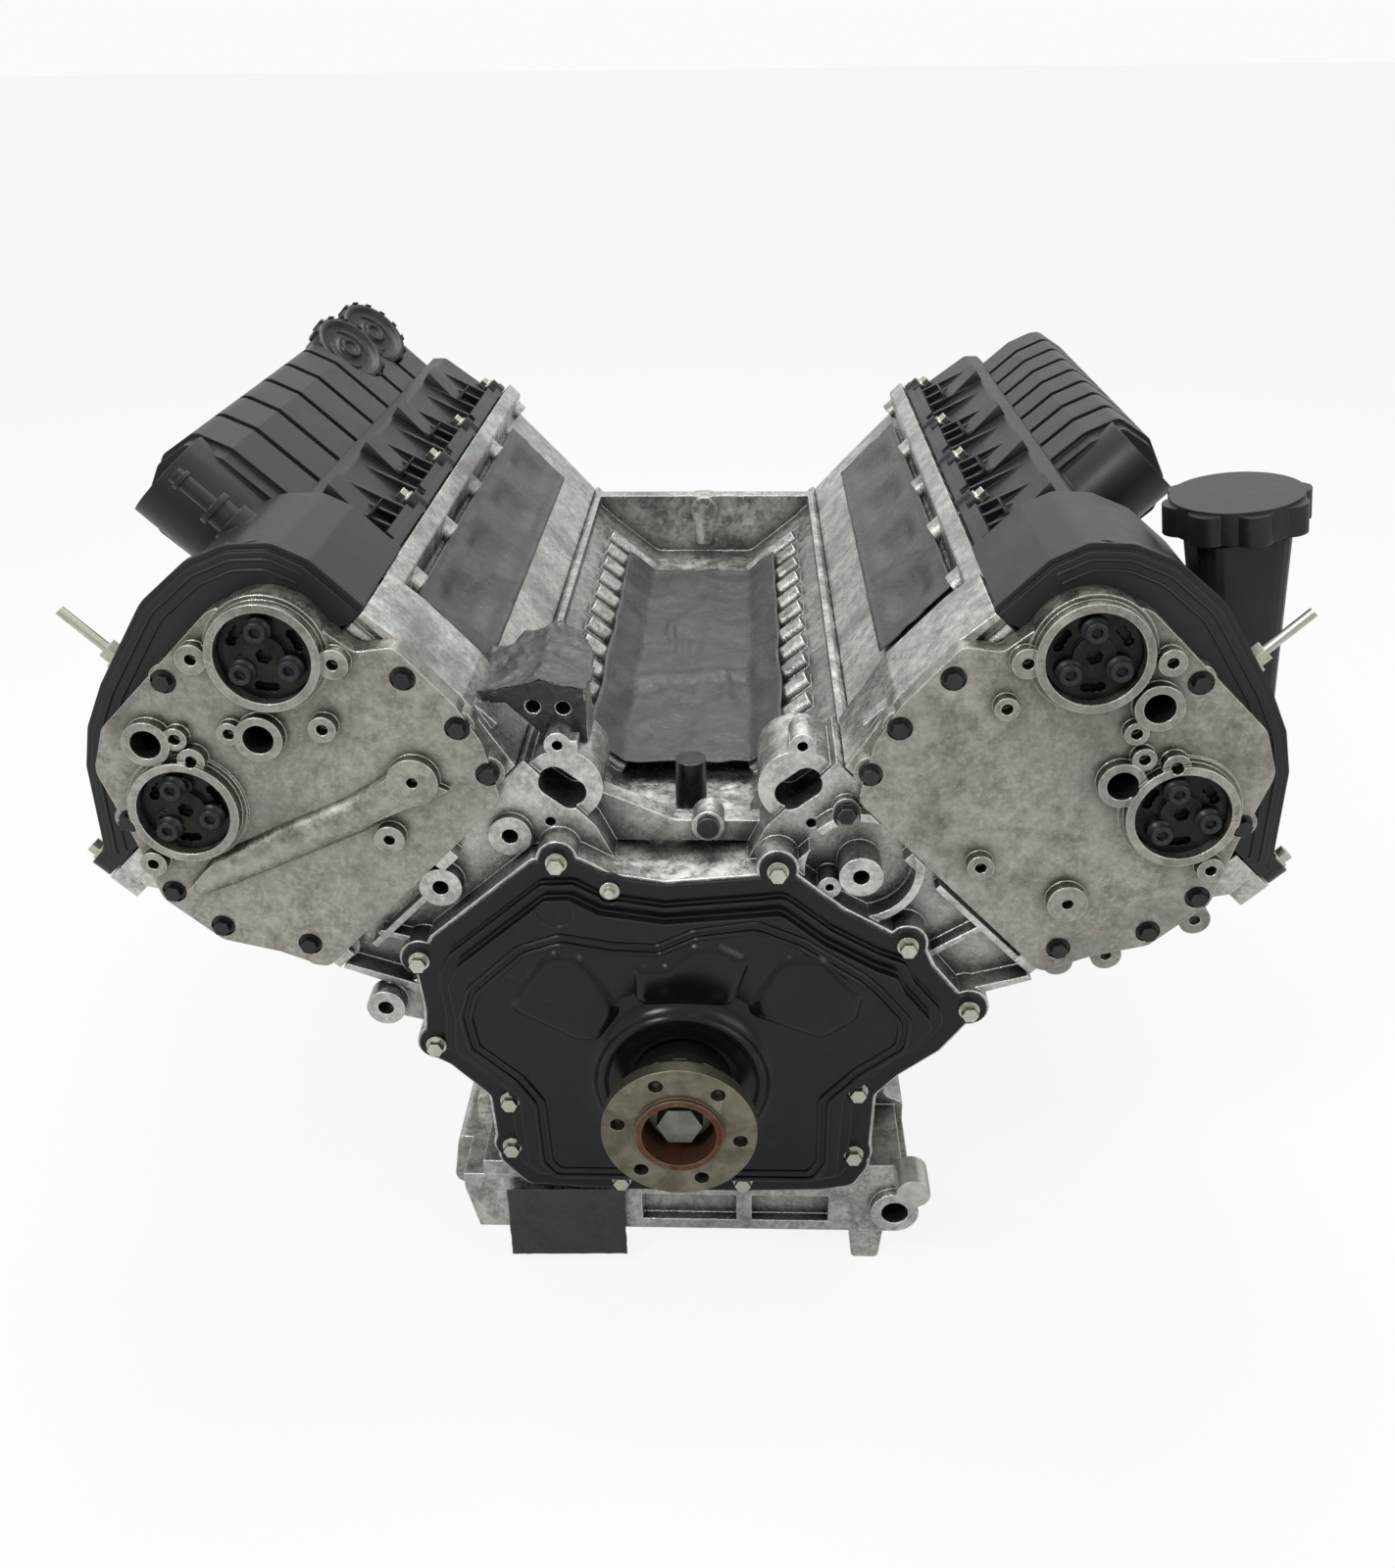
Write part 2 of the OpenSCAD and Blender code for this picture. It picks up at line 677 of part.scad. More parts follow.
module crank_sprockets() {
  color("gray")
    difference() {
      union() {
        for (s = [-1, 1])
          prism(sprocket(crank_teeth, crank_pr), chain_y(s) + 1, chain_y(s) + chain_w - 1);
        // Spacers between the toothed rings
        rod_y(0, 0, crank_pr - tooth_in - 0.5, 100, chest_rear + 20);
      }
      rod_y(0, 0, nose_dia / 2 + 0.02, 90, chest_rear + 30);
    }
}

module crank_hub() {
  color("#8a7f66")
    difference() {
      union() {
        rod_y(0, 0, hub_flange_dia / 2, 0, hub_flange_t);
        rod_y(0, 0, hub_barrel_dia / 2, hub_flange_t - 1, 100 - seat_gap);
        // Raised rim round the notched ring
        rod_y(0, 0, hub_barrel_dia / 2 + 4, hub_flange_t + 6, hub_flange_t + 22);
        // Pilot ring
        rod_y(0, 0, 26.5, -3, 2);
      }
      rod_y(0, 0, nose_dia / 2 + 0.02, -10, 101);
      rod_y(0, 0, 22.5, -4, 23);
      for (i = [0:5])
        rotate([0, 9 + i * 60, 0])
          rod_y(hub_pcd / 2, 0, hub_hole_dia / 2, -1, hub_flange_t + 1);
      for (i = [0:11])
        rotate([0, i * 30, 0])
          translate([hub_barrel_dia / 2 + 2, hub_flange_t + 5, -4])
            cube([6, 12, 8]);
    }
}

module hub_bolt() {
  color("darkkhaki") {
    rod_y(0, 0, 8, 10, 66);
    rod_y(0, 0, 19, 16, 23 - seat_gap);
    translate([0, 16.5, 0])
      rotate([90, 0, 0])
        cylinder(d = 24 / cos(30), h = 11, $fn = 6);
  }
}

collar_r = 52;
module crank_seal() {
  color("black")
    ring_solid(0, 0, 42 - seat_gap, hub_barrel_dia / 2 + 0.3, 50, 60);
}

// Pistons, numbered from the front: odd ones on the left bank, even ones on the right

// How far a piston stands below its top place, for its crank throw
function drop(side, k) =
  let (a = throw_angles[k] - side * 45)
  throw + rod_len - throw * cos(a) - sqrt(pow(rod_len, 2) - pow(throw * sin(a), 2));

module piston(side, k) {
  color("silver")
    bank(side)
      translate([0, cyl_y(side, k), deck_height - 0.5 - drop(side, k) - piston_len])
        difference() {
          cylinder(r = bore_r - run_fit, h = piston_len);
          // Ring grooves
          for (z = [piston_len - 8, piston_len - 14, piston_len - 20])
            translate([0, 0, z])
              difference() {
                cylinder(r = bore_r + 1, h = 1.8);
                translate([0, 0, -1])
                  cylinder(r = bore_r - 3.5, h = 4);
              }
          // Hollow inside with room for the small end
          translate([0, 0, -1])
            cylinder(r = bore_r - 7, h = piston_len - 23);
          translate([0, 0, 18])
            rotate([90, 0, 0])
              translate([0, 0, -bore_r - 5])
                cylinder(r = 11, h = bore_dia + 10);
          // Valve pockets in the crown
          for (x = [-18, 18])
            for (y = [-17, 17])
              translate([x, y, piston_len - 1.5])
                cylinder(r = 14, h = 5);
        }
}

module piston_1() { piston(-1, 0); }
module piston_2() { piston(1, 0); }
module piston_3() { piston(-1, 1); }
module piston_4() { piston(1, 1); }
module piston_5() { piston(-1, 2); }
module piston_6() { piston(1, 2); }
module piston_7() { piston(-1, 3); }
module piston_8() { piston(1, 3); }

// Cylinder heads

module head_gaskets() {
  color("black")
    for (s = [-1, 1])
      bank(s)
        difference() {
          union() {
            translate([-61, chest_rear + 1, deck_height + 0.1])
              cube([126, head_rear - chest_rear - 3, gasket_t - 0.2]);
            translate([-73, head_front + 0.3, deck_height + 0.1])
              cube([178, chest_rear - head_front + 6, gasket_t - 0.2]);
          }
          prism([[-64, deck_height - 1], [97, deck_height - 1], [97, deck_height + 3],
            [-64, deck_height + 3]], head_front + wall, chest_rear + 0.3);
          for (k = [0:bays - 1])
            translate([0, cyl_y(s, k), deck_height - 5])
              cylinder(r = bore_r + 1, h = 12);
        }
}

cams = [[cam_in_u, cam_in_v], [cam_ex_u, cam_ex_v]];
tower_ys = concat([chest_rear + 10], [for (k = [0:bays]) main_y(k)]);

module head(side) {
  bank(side)
    difference() {
      union() {
        difference() {
          union() {
            prism(rounded(head_section), chest_rear - 1, head_rear);
            prism(rounded(chest_edge), head_front, chest_rear + 14);
          }
          prism(rounded(chest_way), head_front - 1, chest_rear);
          prism(rounded(cam_box), chest_rear - 2, head_rear - wall);
        }
        // Bosses of the first cover bolts
        translate([rail_bolt_u, rail_y(0), head_base + 20])
          cylinder(r = 8, h = cover_seat - head_base - 20);
        translate([-84, rail_y(0) - 5, head_base + 24])
          cube([15, 10, cover_seat - head_base - 24]);
        translate([outer_u(0), rail_y(0), cover_seat - 20])
          cylinder(r = 10, h = 20);
        translate([140, rail_y(0) - 10, cover_seat - 20])
          cube([outer_u(0) - 140, 20, 20]);
        // Bosses of the front cover bolts
        for (b = front_bolts)
          if (b[1] < cover_seat - 10)
            rod_y(b[0], b[1], 8, head_front, head_front + 16);
        // Bearing towers
        for (y = tower_ys)
          for (c = cams)
            translate([c[0] - 17, y - cam_tower_w / 2, 298])
              cube([34, cam_tower_w, c[1] - 298]);
        // Bosses along the inner rail
        for (k = [1:5])
          translate([rail_bolt_u, rail_y(k), cover_seat - 24])
            cylinder(r = 10, h = 24);
      }
      for (c = cams)
        rod_y(c[0], c[1], cam_journal_r + run_fit, chest_rear - 2, head_rear - wall - 4);
      for (k = [0:5])
        for (u = [rail_bolt_u, outer_u(k)])
          translate([u, rail_y(k), cover_seat - 16])
            cylinder(r = 3 + bolt_gap, h = 20);
      for (k = [0:bays - 1]) {
        y = cyl_y(side, k);
        // Intake port and its face
        translate([-66, y, 279])
          rotate([0, 90, 0])
            for (t = [-12:4:12])
              translate([0, t, 0])
                cylinder(r = 17, h = 26);
        // Exhaust port
        translate([112, y, 266])
          rotate([0, 90 + 26.6, 0])
            translate([0, 0, -22])
              cylinder(r = 16, h = 50);
        // Combustion chamber
        translate([0, y, head_base - 1])
          cylinder(r = bore_r - 4, h = 10);
      }
      for (b = front_bolts)
        rod_y(b[0], b[1], 3 + bolt_gap, head_front - 1, head_front + 12);
    }
}

module left_head() { color("silver") head(-1); }
module right_head() { color("silver") head(1); }

module cam_caps(side) {
  bank(side)
    for (y = tower_ys)
      for (c = cams)
        difference() {
          prism(rounded([[c[0] - 17, c[1] + 0.1], [c[0] + 17, c[1] + 0.1], [c[0] + 15, c[1] + 12, 5],
            [c[0] + 6, c[1] + 16, 4], [c[0] - 6, c[1] + 16, 4], [c[0] - 15, c[1] + 12, 5]]),
            y - cam_tower_w / 2 + 1, y + cam_tower_w / 2 - 1);
          rod_y(c[0], c[1], cam_journal_r + run_fit, y - cam_tower_w, y + cam_tower_w);
        }
}

module left_cam_caps() { color("lightgray") cam_caps(-1); }
module right_cam_caps() { color("lightgray") cam_caps(1); }

// Camshafts and phasers

function lobe(turn) =
  [for (a = [0:15:345])
    let (d = abs(((a - turn + 540) % 360) - 180), r = cam_base_r + (d < 60 ? cam_lift * (1 + cos(3 * d)) / 2 : 0))
    r * [cos(a), sin(a)]];

module camshaft(side, c, phase) {
  bank(side)
    translate([c[0], 0, c[1]]) {
      difference() {
        rod_y(0, 0, cam_journal_r, chest_rear + 0.3, head_rear - wall - 6);
        rod_y(0, 0, 4, chest_rear, chest_rear + 50);
      }
      for (k = [0:bays - 1])
        for (d = [-20, 20])
          prism(lobe(phase + throw_angles[k] / 2), cyl_y(side, k) + d - 7, cyl_y(side, k) + d + 7);
    }
}

module left_intake_cam() { color("gray") camshaft(-1, cams[0], 30); }
module left_exhaust_cam() { color("gray") camshaft(-1, cams[1], 150); }
module right_intake_cam() { color("gray") camshaft(1, cams[0], 30); }
module right_exhaust_cam() { color("gray") camshaft(1, cams[1], 150); }

module phaser(side, c) {
  front = ring_y(side) + 4;
  drum_r = phaser_port_r - 0.8;
  back = chain_y(side) + chain_w;
  bank(side)
    translate([c[0], 0, c[1]])
      difference() {
        union() {
          rod_y(0, 0, drum_r, front + 3, head_front + 1);
          rod_y(0, 0, 20, head_front, back - 2);
          prism(sprocket(2 * crank_teeth, cam_pr), chain_y(side) + 1, chain_y(side) + chain_w - 1);
          rod_y(0, 0, 14, back - 3, chest_rear - 0.3);
          // Raised centre with the bolt and its socket
          rod_y(0, 0, 12, front, front + 4);
          // Small bolts round it
          for (a = [20, 140, 260])
            rod_y(16 * cos(a), 16 * sin(a), 5, front + 0.5, front + 4);
        }
        translate([0, front + 5, 0])
          rotate([90, 0, 0])
            cylinder(r = 5, h = 8, $fn = 6);
        for (a = [20, 140, 260])
          rod_y(16 * cos(a), 16 * sin(a), 2.5, front - 2, front + 3);
        for (a = [80, 200, 320])
          for (d = [-12, 0, 12])
            rod_y(20 * cos(a + d), 20 * sin(a + d), 3, front + 1, front + 9);
      }
}

module left_intake_phaser() { color("#2c2a26") phaser(-1, cams[0]); }
module left_exhaust_phaser() { color("#2c2a26") phaser(-1, cams[1]); }
module right_intake_phaser() { color("#2c2a26") phaser(1, cams[0]); }
module right_exhaust_phaser() { color("#2c2a26") phaser(1, cams[1]); }

// Timing chains: each loop touches the crankshaft sprocket and both cam sprockets

// Angle of the outer tangent from circle a to circle b, both run counter-clockwise
function tangent_angle(a, ra, b, rb) =
  let (d = b - a)
  atan2(d[1], d[0]) - 90 + asin((ra - rb) / norm(d)) + 0;

function arc_points(c, r, a0, a1) =
  let (n = ceil((a1 - a0) / 12))
  [for (i = [0:n]) c + r * [cos(a0 + (a1 - a0) * i / n), sin(a0 + (a1 - a0) * i / n)]];

wheels = [[0, 0], [cam_ex_u, cam_ex_v], [cam_in_u, cam_in_v]];
wheel_r = [crank_pr, cam_pr, cam_pr];
side_angles = [for (i = [0:2]) tangent_angle(wheels[i], wheel_r[i], wheels[(i + 1) % 3], wheel_r[(i + 1) % 3])];

// Loop round the three sprockets, d outside their pitch circles
function loop(d) = [for (i = [0:2])
  let (
    a1 = side_angles[i],
    a0 = side_angles[(i + 2) % 3],
    from = a0 > a1 ? a0 - 360 : a0
  )
  each arc_points(wheels[i], wheel_r[i] + d, from, a1)];

module timing_chain(side) {
  bank(side)
    difference() {
      prism(loop(chain_out), chain_y(side), chain_y(side) + chain_w);
      prism(loop(chain_in), chain_y(side) - 1, chain_y(side) + chain_w + 1);
    }
}

module left_timing_chain() { color("dimgray") timing_chain(-1); }
module right_timing_chain() { color("dimgray") timing_chain(1); }

// A point beside a straight run of chain: i is the run, t its place from 0 to 1
function beside(i, t, d) =
  let (
    n = [cos(side_angles[i]), sin(side_angles[i])],
    j = (i + 1) % 3,
    a = wheels[i] + (wheel_r[i] + d) * n,
    b = wheels[j] + (wheel_r[j] + d) * n
  )
  a + t * (b - a);

guide_in = chain_out + guide_gap;

module chain_guides() {
  color("saddlebrown")
    for (s = [-1, 1])
      bank(s)
        union() {
          prism(rounded([beside(2, 0.3, guide_in), concat(beside(2, 0.3, guide_in + guide_t), [2]),
            concat(beside(2, 0.82, guide_in + guide_t), [2]), beside(2, 0.82, guide_in)]),
            chain_y(s) - 1, chain_y(s) + chain_w + 1);
          // Two bosses that fasten the guide to the rear wall
          for (t = [0.38, 0.72])
            let (p = beside(2, t, guide_in + 4))
            rod_y(p[0], p[1], 4, chain_y(s), chest_rear - seat_gap);
        }
}

module tension_arm(side) {
  low = arm_low;
  high = arm_high;
  p = beside(0, low, guide_in + 6);
  bank(side)
    difference() {
      union() {
        prism([beside(0, low, guide_in), beside(0, low, guide_in + guide_t + 2),
          beside(0, high, guide_in + guide_t), beside(0, high, guide_in)],
          chain_y(side) - 1, chain_y(side) + chain_w + 1);
        rod_y(p[0], p[1], 5.7, chain_y(side) - 1, chain_y(side) + chain_w + 1);
      }
      rod_y(p[0], p[1], 4 + run_fit, chain_y(side) - 2, chain_y(side) + chain_w + 2);
    }
}

module left_tension_arm() { color("saddlebrown") tension_arm(-1); }
module right_tension_arm() { color("saddlebrown") tension_arm(1); }

plunger_v = 272;
plunger_r = 5;

// Place across the bank of a line beside the outer strand, at a height v
function strand_u(v, d) =
  let (a = beside(0, 0, d), b = beside(0, 1, d))
  a[0] + (v - a[1]) / (b[1] - a[1]) * (b[0] - a[0]);

arm_face = strand_u(plunger_v + plunger_r, guide_in + guide_t);
tensioner_u = arm_face + 8.6;
tensioner_end = 132;

module plunger(side) {
  bank(side)
    translate([arm_face + 0.3, chain_y(side) + chain_w / 2, plunger_v])
      rotate([0, 90, 0])
        cylinder(r = plunger_r - run_fit, h = 14.4);
}

module left_plunger() { color("silver") plunger(-1); }
module right_plunger() { color("silver") plunger(1); }

module tensioner_bodies() {
  color("gray")
    for (s = [-1, 1])
      bank(s) {
        difference() {
          translate([tensioner_u, chain_y(s) - 2, plunger_v - 7])
            cube([tensioner_end - tensioner_u, chest_rear - seat_gap - chain_y(s) + 2, 16]);
          translate([tensioner_u - 1, chain_y(s) + chain_w / 2, plunger_v])
            rotate([0, 90, 0])
              cylinder(r = plunger_r, h = tensioner_end - tensioner_u - 0.5);
        }
        // Pivot pin of the arm, fixed in the chest's rear wall
        p = beside(0, arm_low, guide_in + 6);
        rod_y(p[0], p[1], 4, chain_y(s) - 3, chest_rear - seat_gap);
      }
}

// Lower timing cover

module pressed_pad(pts, h) {
  y = cover_face - sheet - dome_depth;
  prism(rounded(pts), y - h / 2, y + 1);
  prism(rounded(inset(pts, 2.5)), y - h, y);
}

left_pad = [[-104, 52, 8], [-66, 30, 6], [-52, 28, 8], [-38, 50, 10], [-62, 90, 10], [-78, 92, 10]];
middle_pad = [[-26, 56, 8], [30, 56, 8], [40, 88, 10], [22, 98, 8], [8, 97, 8], [-8, 82, 8], [-26, 82, 8]];
right_pad = [[40, 50, 10], [86, 32, 8], [106, 46, 8], [108, 62, 10], [84, 90, 10], [64, 90, 10]];

module timing_cover() {
  y = cover_face - sheet;
  color("#17181a")
    difference() {
      union() {
        difference() {
          union() {
            prism(rounded(cover_edge), y, cover_face);
            for (b = concat(cover_bolts, [cover_stud]))
              rod_y(b[0], b[1], cover_ear_r, y, cover_face);
            difference() {
              // The pressing rises in two steps
              union() {
                prism(rounded(inset(cover_edge, 13)), y - 5, y + 0.5);
                prism(rounded(inset(cover_edge, 20)), y - dome_depth, y - 4);
              }
              // Room for the bolt heads
              for (b = concat(cover_bolts, [cover_stud]))
                rod_y(b[0], b[1], 6.9, y - dome_depth - 4, y);
            }
            pressed_pad(left_pad, 3);
            pressed_pad(middle_pad, 3);
            pressed_pad(right_pad, 3);
          }
          prism(rounded(inset(cover_edge, 17)), y - 2.5, cover_face + 0.5);
          prism(rounded(inset(cover_edge, 24)), y - dome_depth + sheet, cover_face + 1);
        }
        // Collar round the seal
        rod_y(0, 0, collar_r, y - dome_depth - 5, y);
        rod_y(0, 0, collar_r - 5, y - dome_depth - 9, y);
      }
      rod_y(0, 0, 42, y - dome_depth - 2, cover_face + 1);
      rod_y(0, 0, hub_barrel_dia / 2 + 6, 30, cover_face + 1);
      for (b = concat(cover_bolts, [cover_stud]))
        rod_y(b[0], b[1], 3 + bolt_gap, y - 1, cover_face + 1);
      // Round dish near the upper left bolt
      rod_y(-74, 121, 11, y - dome_depth - 1, y - dome_depth + 1);
    }
}

module timing_cover_bolts() {
  color("khaki") {
    for (b = cover_bolts)
      bolt_y(b[0], b[1], cover_face - sheet - seat_gap, 3, 18, 9);
    rod_y(cover_stud[0], cover_stud[1], 3, cover_face - sheet - 6, cover_face - seat_gap);
    rod_y(cover_stud[0], cover_stud[1], 6, cover_face - sheet - 2, cover_face - sheet - seat_gap);
  }
}

// Upper front covers

// Sensor ports and their ear bolts, then bosses with a hole, for each side
function ports(side) = side > 0 ? [[13, 366], [37, 321]] : [[56, 375], [7, 331]];
function ears(side) = side > 0 ? [[17, 347], [33, 340]] : [[42, 365], [17, 345]];
function bosses(side) = side > 0
  ? [[-59, 332, 9], [-4, 388, 8], [49, 350, 8], [117, 322, 8], [77, 248, 12], [22, 228, 8], [-46, 306, 7]]
  : [[-60, 330, 9], [-6, 388, 9], [46, 350, 8], [119, 325, 8], [-34, 251, 15], [5, 236, 9], [-24, 309, 8]];
function lugs(side) = side > 0 ? [[146, 292], [129, 238], [112, 214]] : [[108, 213], [92, 205]];

module front_cover(side) {
  plate = ring_y(side) + 9;
  front = ring_y(side);
  bank(side)
    difference() {
      union() {
        difference() {
          union() {
            prism(rounded(front_edge), plate, head_front);
            for (b = front_bolts)
              rod_y(b[0], b[1], 9.5, plate + 3, head_front);
            for (b = lugs(side))
              rod_y(b[0], b[1], 9.5, head_front - 9, head_front);
            for (c = cams)
              rod_y(c[0], c[1], phaser_port_r + 5, front, head_front);
            // Chamfered skirt of each ring
            for (c = cams)
              rod_y(c[0], c[1], phaser_port_r + 8, plate - 2, head_front);
          }
          prism(rounded(inset(front_edge, wall)), plate + 5, head_front + 1);
        }
        for (c = cams)
          ring_solid(c[0], c[1], phaser_port_r + 5, phaser_port_r, front, plate + 12);
        for (b = ports(side))
          rod_y(b[0], b[1], 14, front + 2, plate + 10);
        for (b = ears(side))
          rod_y(b[0], b[1], 7, front + 3, plate + 3);
        for (b = bosses(side))
          rod_y(b[0], b[1], b[2], front + 2, plate + 3);
        for (b = front_bolts)
          rod_y(b[0], b[1], 9.5, plate + 3, head_front);
      }
      for (c = cams)
        rod_y(c[0], c[1], phaser_port_r, front - 1, head_front + 1);
      for (b = ports(side))
        rod_y(b[0], b[1], 9, front, plate + 12);
      for (b = concat(ears(side), [for (b = bosses(side)) [b[0], b[1]]]))
        rod_y(b[0], b[1], 3.4, front, plate + 1.5);
      for (b = front_bolts) {
        rod_y(b[0], b[1], 3 + bolt_gap, plate - 1, head_front + 1);
        // Recess for its head
        rod_y(b[0], b[1], 7.4, front - 6, plate + 3);
      }
      for (b = lugs(side))
        rod_y(b[0], b[1], 3.4, head_front - 12, head_front + 1);
    }
}

// Raised band that crosses the left cover
module left_front_cover() {
  color("silver") {
    front_cover(-1);
    bank(-1)
      difference() {
        prism(rounded([[-44, 232], [121, 293], [120.5, 299.2], [96, 300, 20], [10, 268, 30], [-34, 262, 6]]),
          left_ring_y + 4, left_ring_y + 9);
        rod_y(-34, 251, 15, left_ring_y, left_ring_y + 10);
        rod_y(5, 236, 9, left_ring_y, left_ring_y + 10);
      }
  }
}

module right_front_cover() {
  color("silver")
    front_cover(1);
}

module front_cover_bolts() {
  color("#2a2a2a")
    for (s = [-1, 1])
      bank(s)
        for (b = front_bolts)
          bolt_y(b[0], b[1], ring_y(s) + 12 - seat_gap, 3, head_front - ring_y(s) - 8, 9);
}

// Cam covers

// Inner outline of a cover, open underneath
function room(edge) =
  let (inner = inset(edge, cover_wall))
  concat([[inner[0][0], cover_seat - 1], [inner[1][0], cover_seat - 1]],
    [for (i = [2:len(edge) - 1]) inner[i]]);
main_room = room(main_edge);

// Thin shell of an outline, open underneath
module cover_shell(edge, y0, y1) {
  difference() {
    prism(rounded(edge), y0, y1);
    prism(rounded(room(edge)), y0 + cover_wall, y1 - cover_wall);
  }
}

module cover_rail() {
  lip = 6;
  // Inner and outer lips, in steps between the bolts
  translate([-76, arch_rear - cover_wall, cover_base])
    cube([16, cover_rear - arch_rear + cover_wall, lip]);
  translate([138, arch_front, cover_base])
    cube([18, cover_rear - arch_front, lip]);
  translate([140, rail_y(0) - 9, cover_base])
    cube([outer_u(0) - 140, 18, boss_h - seal_t]);
  for (k = [0:5])
    for (u = [rail_bolt_u, outer_u(k)])
      translate([u, rail_y(k), cover_base])
        cylinder(r = 9, h = boss_h - seal_t);
  for (k = [0:4])
    translate([-75, max(rail_y(k) + 22, arch_rear + 4), cover_base])
      cube([8, rail_y(k + 1) - 22 - max(rail_y(k) + 22, arch_rear + 4), lip + 6]);
}

// Pointed gussets of the inner wall, a few between two bolts, and its scoops
module cover_gussets() {
  for (k = [0:4])
    for (i = [1:4])
      let (y = rail_y(k) + (rail_y(k + 1) - rail_y(k)) * i / 5)
      if (y > arch_rear + 4)
        prism([[-60, cover_seat + 6], [-50, 400], [-56, 396], [-74, cover_seat + 7]], y - 1.5, y + 1.5);
  for (k = [1:4])
    translate([-66, (rail_y(k) + rail_y(k + 1)) / 2, 362])
      rotate([0, 12, 0])
        difference() {
          cylinder(r = 14, h = 34);
          translate([-16, -16, -1])
            rotate([0, -14, 0])
              cube([17, 32, 48]);
        }
}

module separator_box(side) {
  edge = box_edge(side);
  front = box_front(side);
  prism(rounded(edge), front, box_rear);
  // Round end towards the front
  translate([-9, front + 2, 396])
    cylinder(r = 31, h = edge[4][1] - 404);
  step = (box_rear - front - 24) / 8;
  for (i = [0:7])
    prism(rounded(inset(edge, -3)), front + 16 + i * step, front + 8 + (i + 1) * step);
}

// Frame of a breather canister in the left bank's space, facing the valley
canister_r = 31;
module canister_frame(i) {
  translate([i == 0 ? -20 : -24, i == 0 ? 546 : 609, i == 0 ? 456 : 453])
    rotate([0, 0, 17])
      rotate([0, -90, 0])
        children();
}

pipe_at = [-40, 158];

module cam_cover(side) {
  bank(side)
    difference() {
      union() {
        cover_shell(arch_edge, arch_front, arch_rear);
        cover_shell(main_edge, arch_rear - cover_wall, cover_rear);
        // Rim round the front of the arch
        difference() {
          prism(rounded(inset(arch_edge, -4)), arch_front + 3, arch_front + 9);
          prism(rounded(room(arch_edge)), arch_front - 1, arch_front + 12);
          translate([-200, 0, cover_base - 20])
            cube([400, 200, 20]);
        }
        cover_rail();
        cover_gussets();
        separator_box(side);
        // Liner of the pocket over the first inner bolt
        intersection() {
          prism(rounded(arch_edge), arch_front, arch_rear);
          translate([rail_bolt_u, rail_y(0), cover_base])
            cylinder(r = 11, h = 100);
        }
        // Stud boss on the arch
        translate([44, rail_y(0) + 2, 398])
          cylinder(r = 9, h = 20);
        if (side < 0)
          translate([pipe_at[0], pipe_at[1], 404])
            cylinder(r = 13, h = 20);
      }
      // Opening of the arch behind the front cover
      prism(rounded(concat([[-80, cover_seat - 1], [131, cover_seat - 1]],
        [for (p = inset(front_edge, wall)) if (p[1] > cover_seat) p])),
        arch_front - 1, arch_front + cover_wall + 1);
      // Way from the chest through to the rear
      prism([[-57, cover_seat - 1], [126, cover_seat - 1], [116, 368], [90, 382], [-50, 392]],
        arch_rear - 10, arch_rear + 10);
      // Room under the roof, and in the separator box
      prism(rounded(main_room), arch_rear + 1, cover_rear - cover_wall);
      for (c = cams)
        rod_y(c[0], c[1], phaser_port_r + 1.2, arch_front - 1, arch_front + cover_wall + 1);
      prism(rounded([[-36, 390], [19, 390], [20, box_edge(side)[2][1] - 4, 3],
        [13, box_edge(side)[3][1] - 6, 3], [-10, box_edge(side)[4][1] - 5, 3],
        [-30, box_edge(side)[5][1] - 5, 3], [-37, box_edge(side)[6][1], 3]]),
        box_front(side) + 4, box_rear - 4);
      // Pocket over the first inner bolt
      translate([rail_bolt_u, rail_y(0), cover_seat + boss_h])
        cylinder(r = 8, h = 90);
      for (k = [0:5])
        for (u = [rail_bolt_u, outer_u(k)]) {
          translate([u, rail_y(k), cover_seat - 2])
            cylinder(r = 3 + bolt_gap, h = boss_h + 4);
          // Room for its head
          translate([u, rail_y(k), cover_seat + boss_h])
            cylinder(r = 6.9, h = 9);
        }
      translate([44, rail_y(0) + 2, 404])
        cylinder(r = 3 + bolt_gap, h = 20);
      translate([44, rail_y(0) + 2, 418])
        cylinder(r = 9.2, h = 12);
      for (b = front_bolts)
        if (b[1] > cover_seat)
          rod_y(b[0], b[1], 3 + bolt_gap, arch_front - 1, arch_front + 12);
      if (side > 0)
        filler_frame()
          translate([0, 0, -8])
            cylinder(r = filler_bore / 2, h = 120);
      if (side < 0) {
        translate([pipe_at[0], pipe_at[1], 412])
          cylinder(r = 9 + seat_gap, h = 20);
        for (i = [0, 1])
          canister_frame(i)
            translate([0, 0, -seat_gap])
              cylinder(r = canister_r + 1.7, h = 80);
      }
    }
}

module left_cam_cover() { color("#1b1b1d") cam_cover(-1); }
module right_cam_cover() { color("#1b1b1d") cam_cover(1); }

// Seals under the inner and outer rails and round the chest
module cam_cover_seals() {
  z = cover_seat + 0.1;
  t = seal_t - 0.2;
  color("black")
    for (s = [-1, 1])
      bank(s)
        difference() {
          union() {
            translate([-70, chest_rear - 4, z])
              cube([10, cover_rear - chest_rear + 4, t]);
            translate([-83.5, arch_front + 0.3, z])
              cube([23, chest_rear - arch_front - 3, t]);
            translate([139, arch_front + 0.3, z])
              cube([13, cover_rear - arch_front - 0.3, t]);
            translate([-70, cover_rear - 8, z])
              cube([222, 8, t]);
          }
          translate([-80.5, arch_front + 4, z - 1])
            cube([22, chest_rear + 55 - arch_front, 4]);
          for (k = [0:5])
            for (u = [rail_bolt_u, outer_u(k)])
              translate([u, rail_y(k), z - 1])
                cylinder(r = 3 + bolt_gap, h = 4);
        }
}

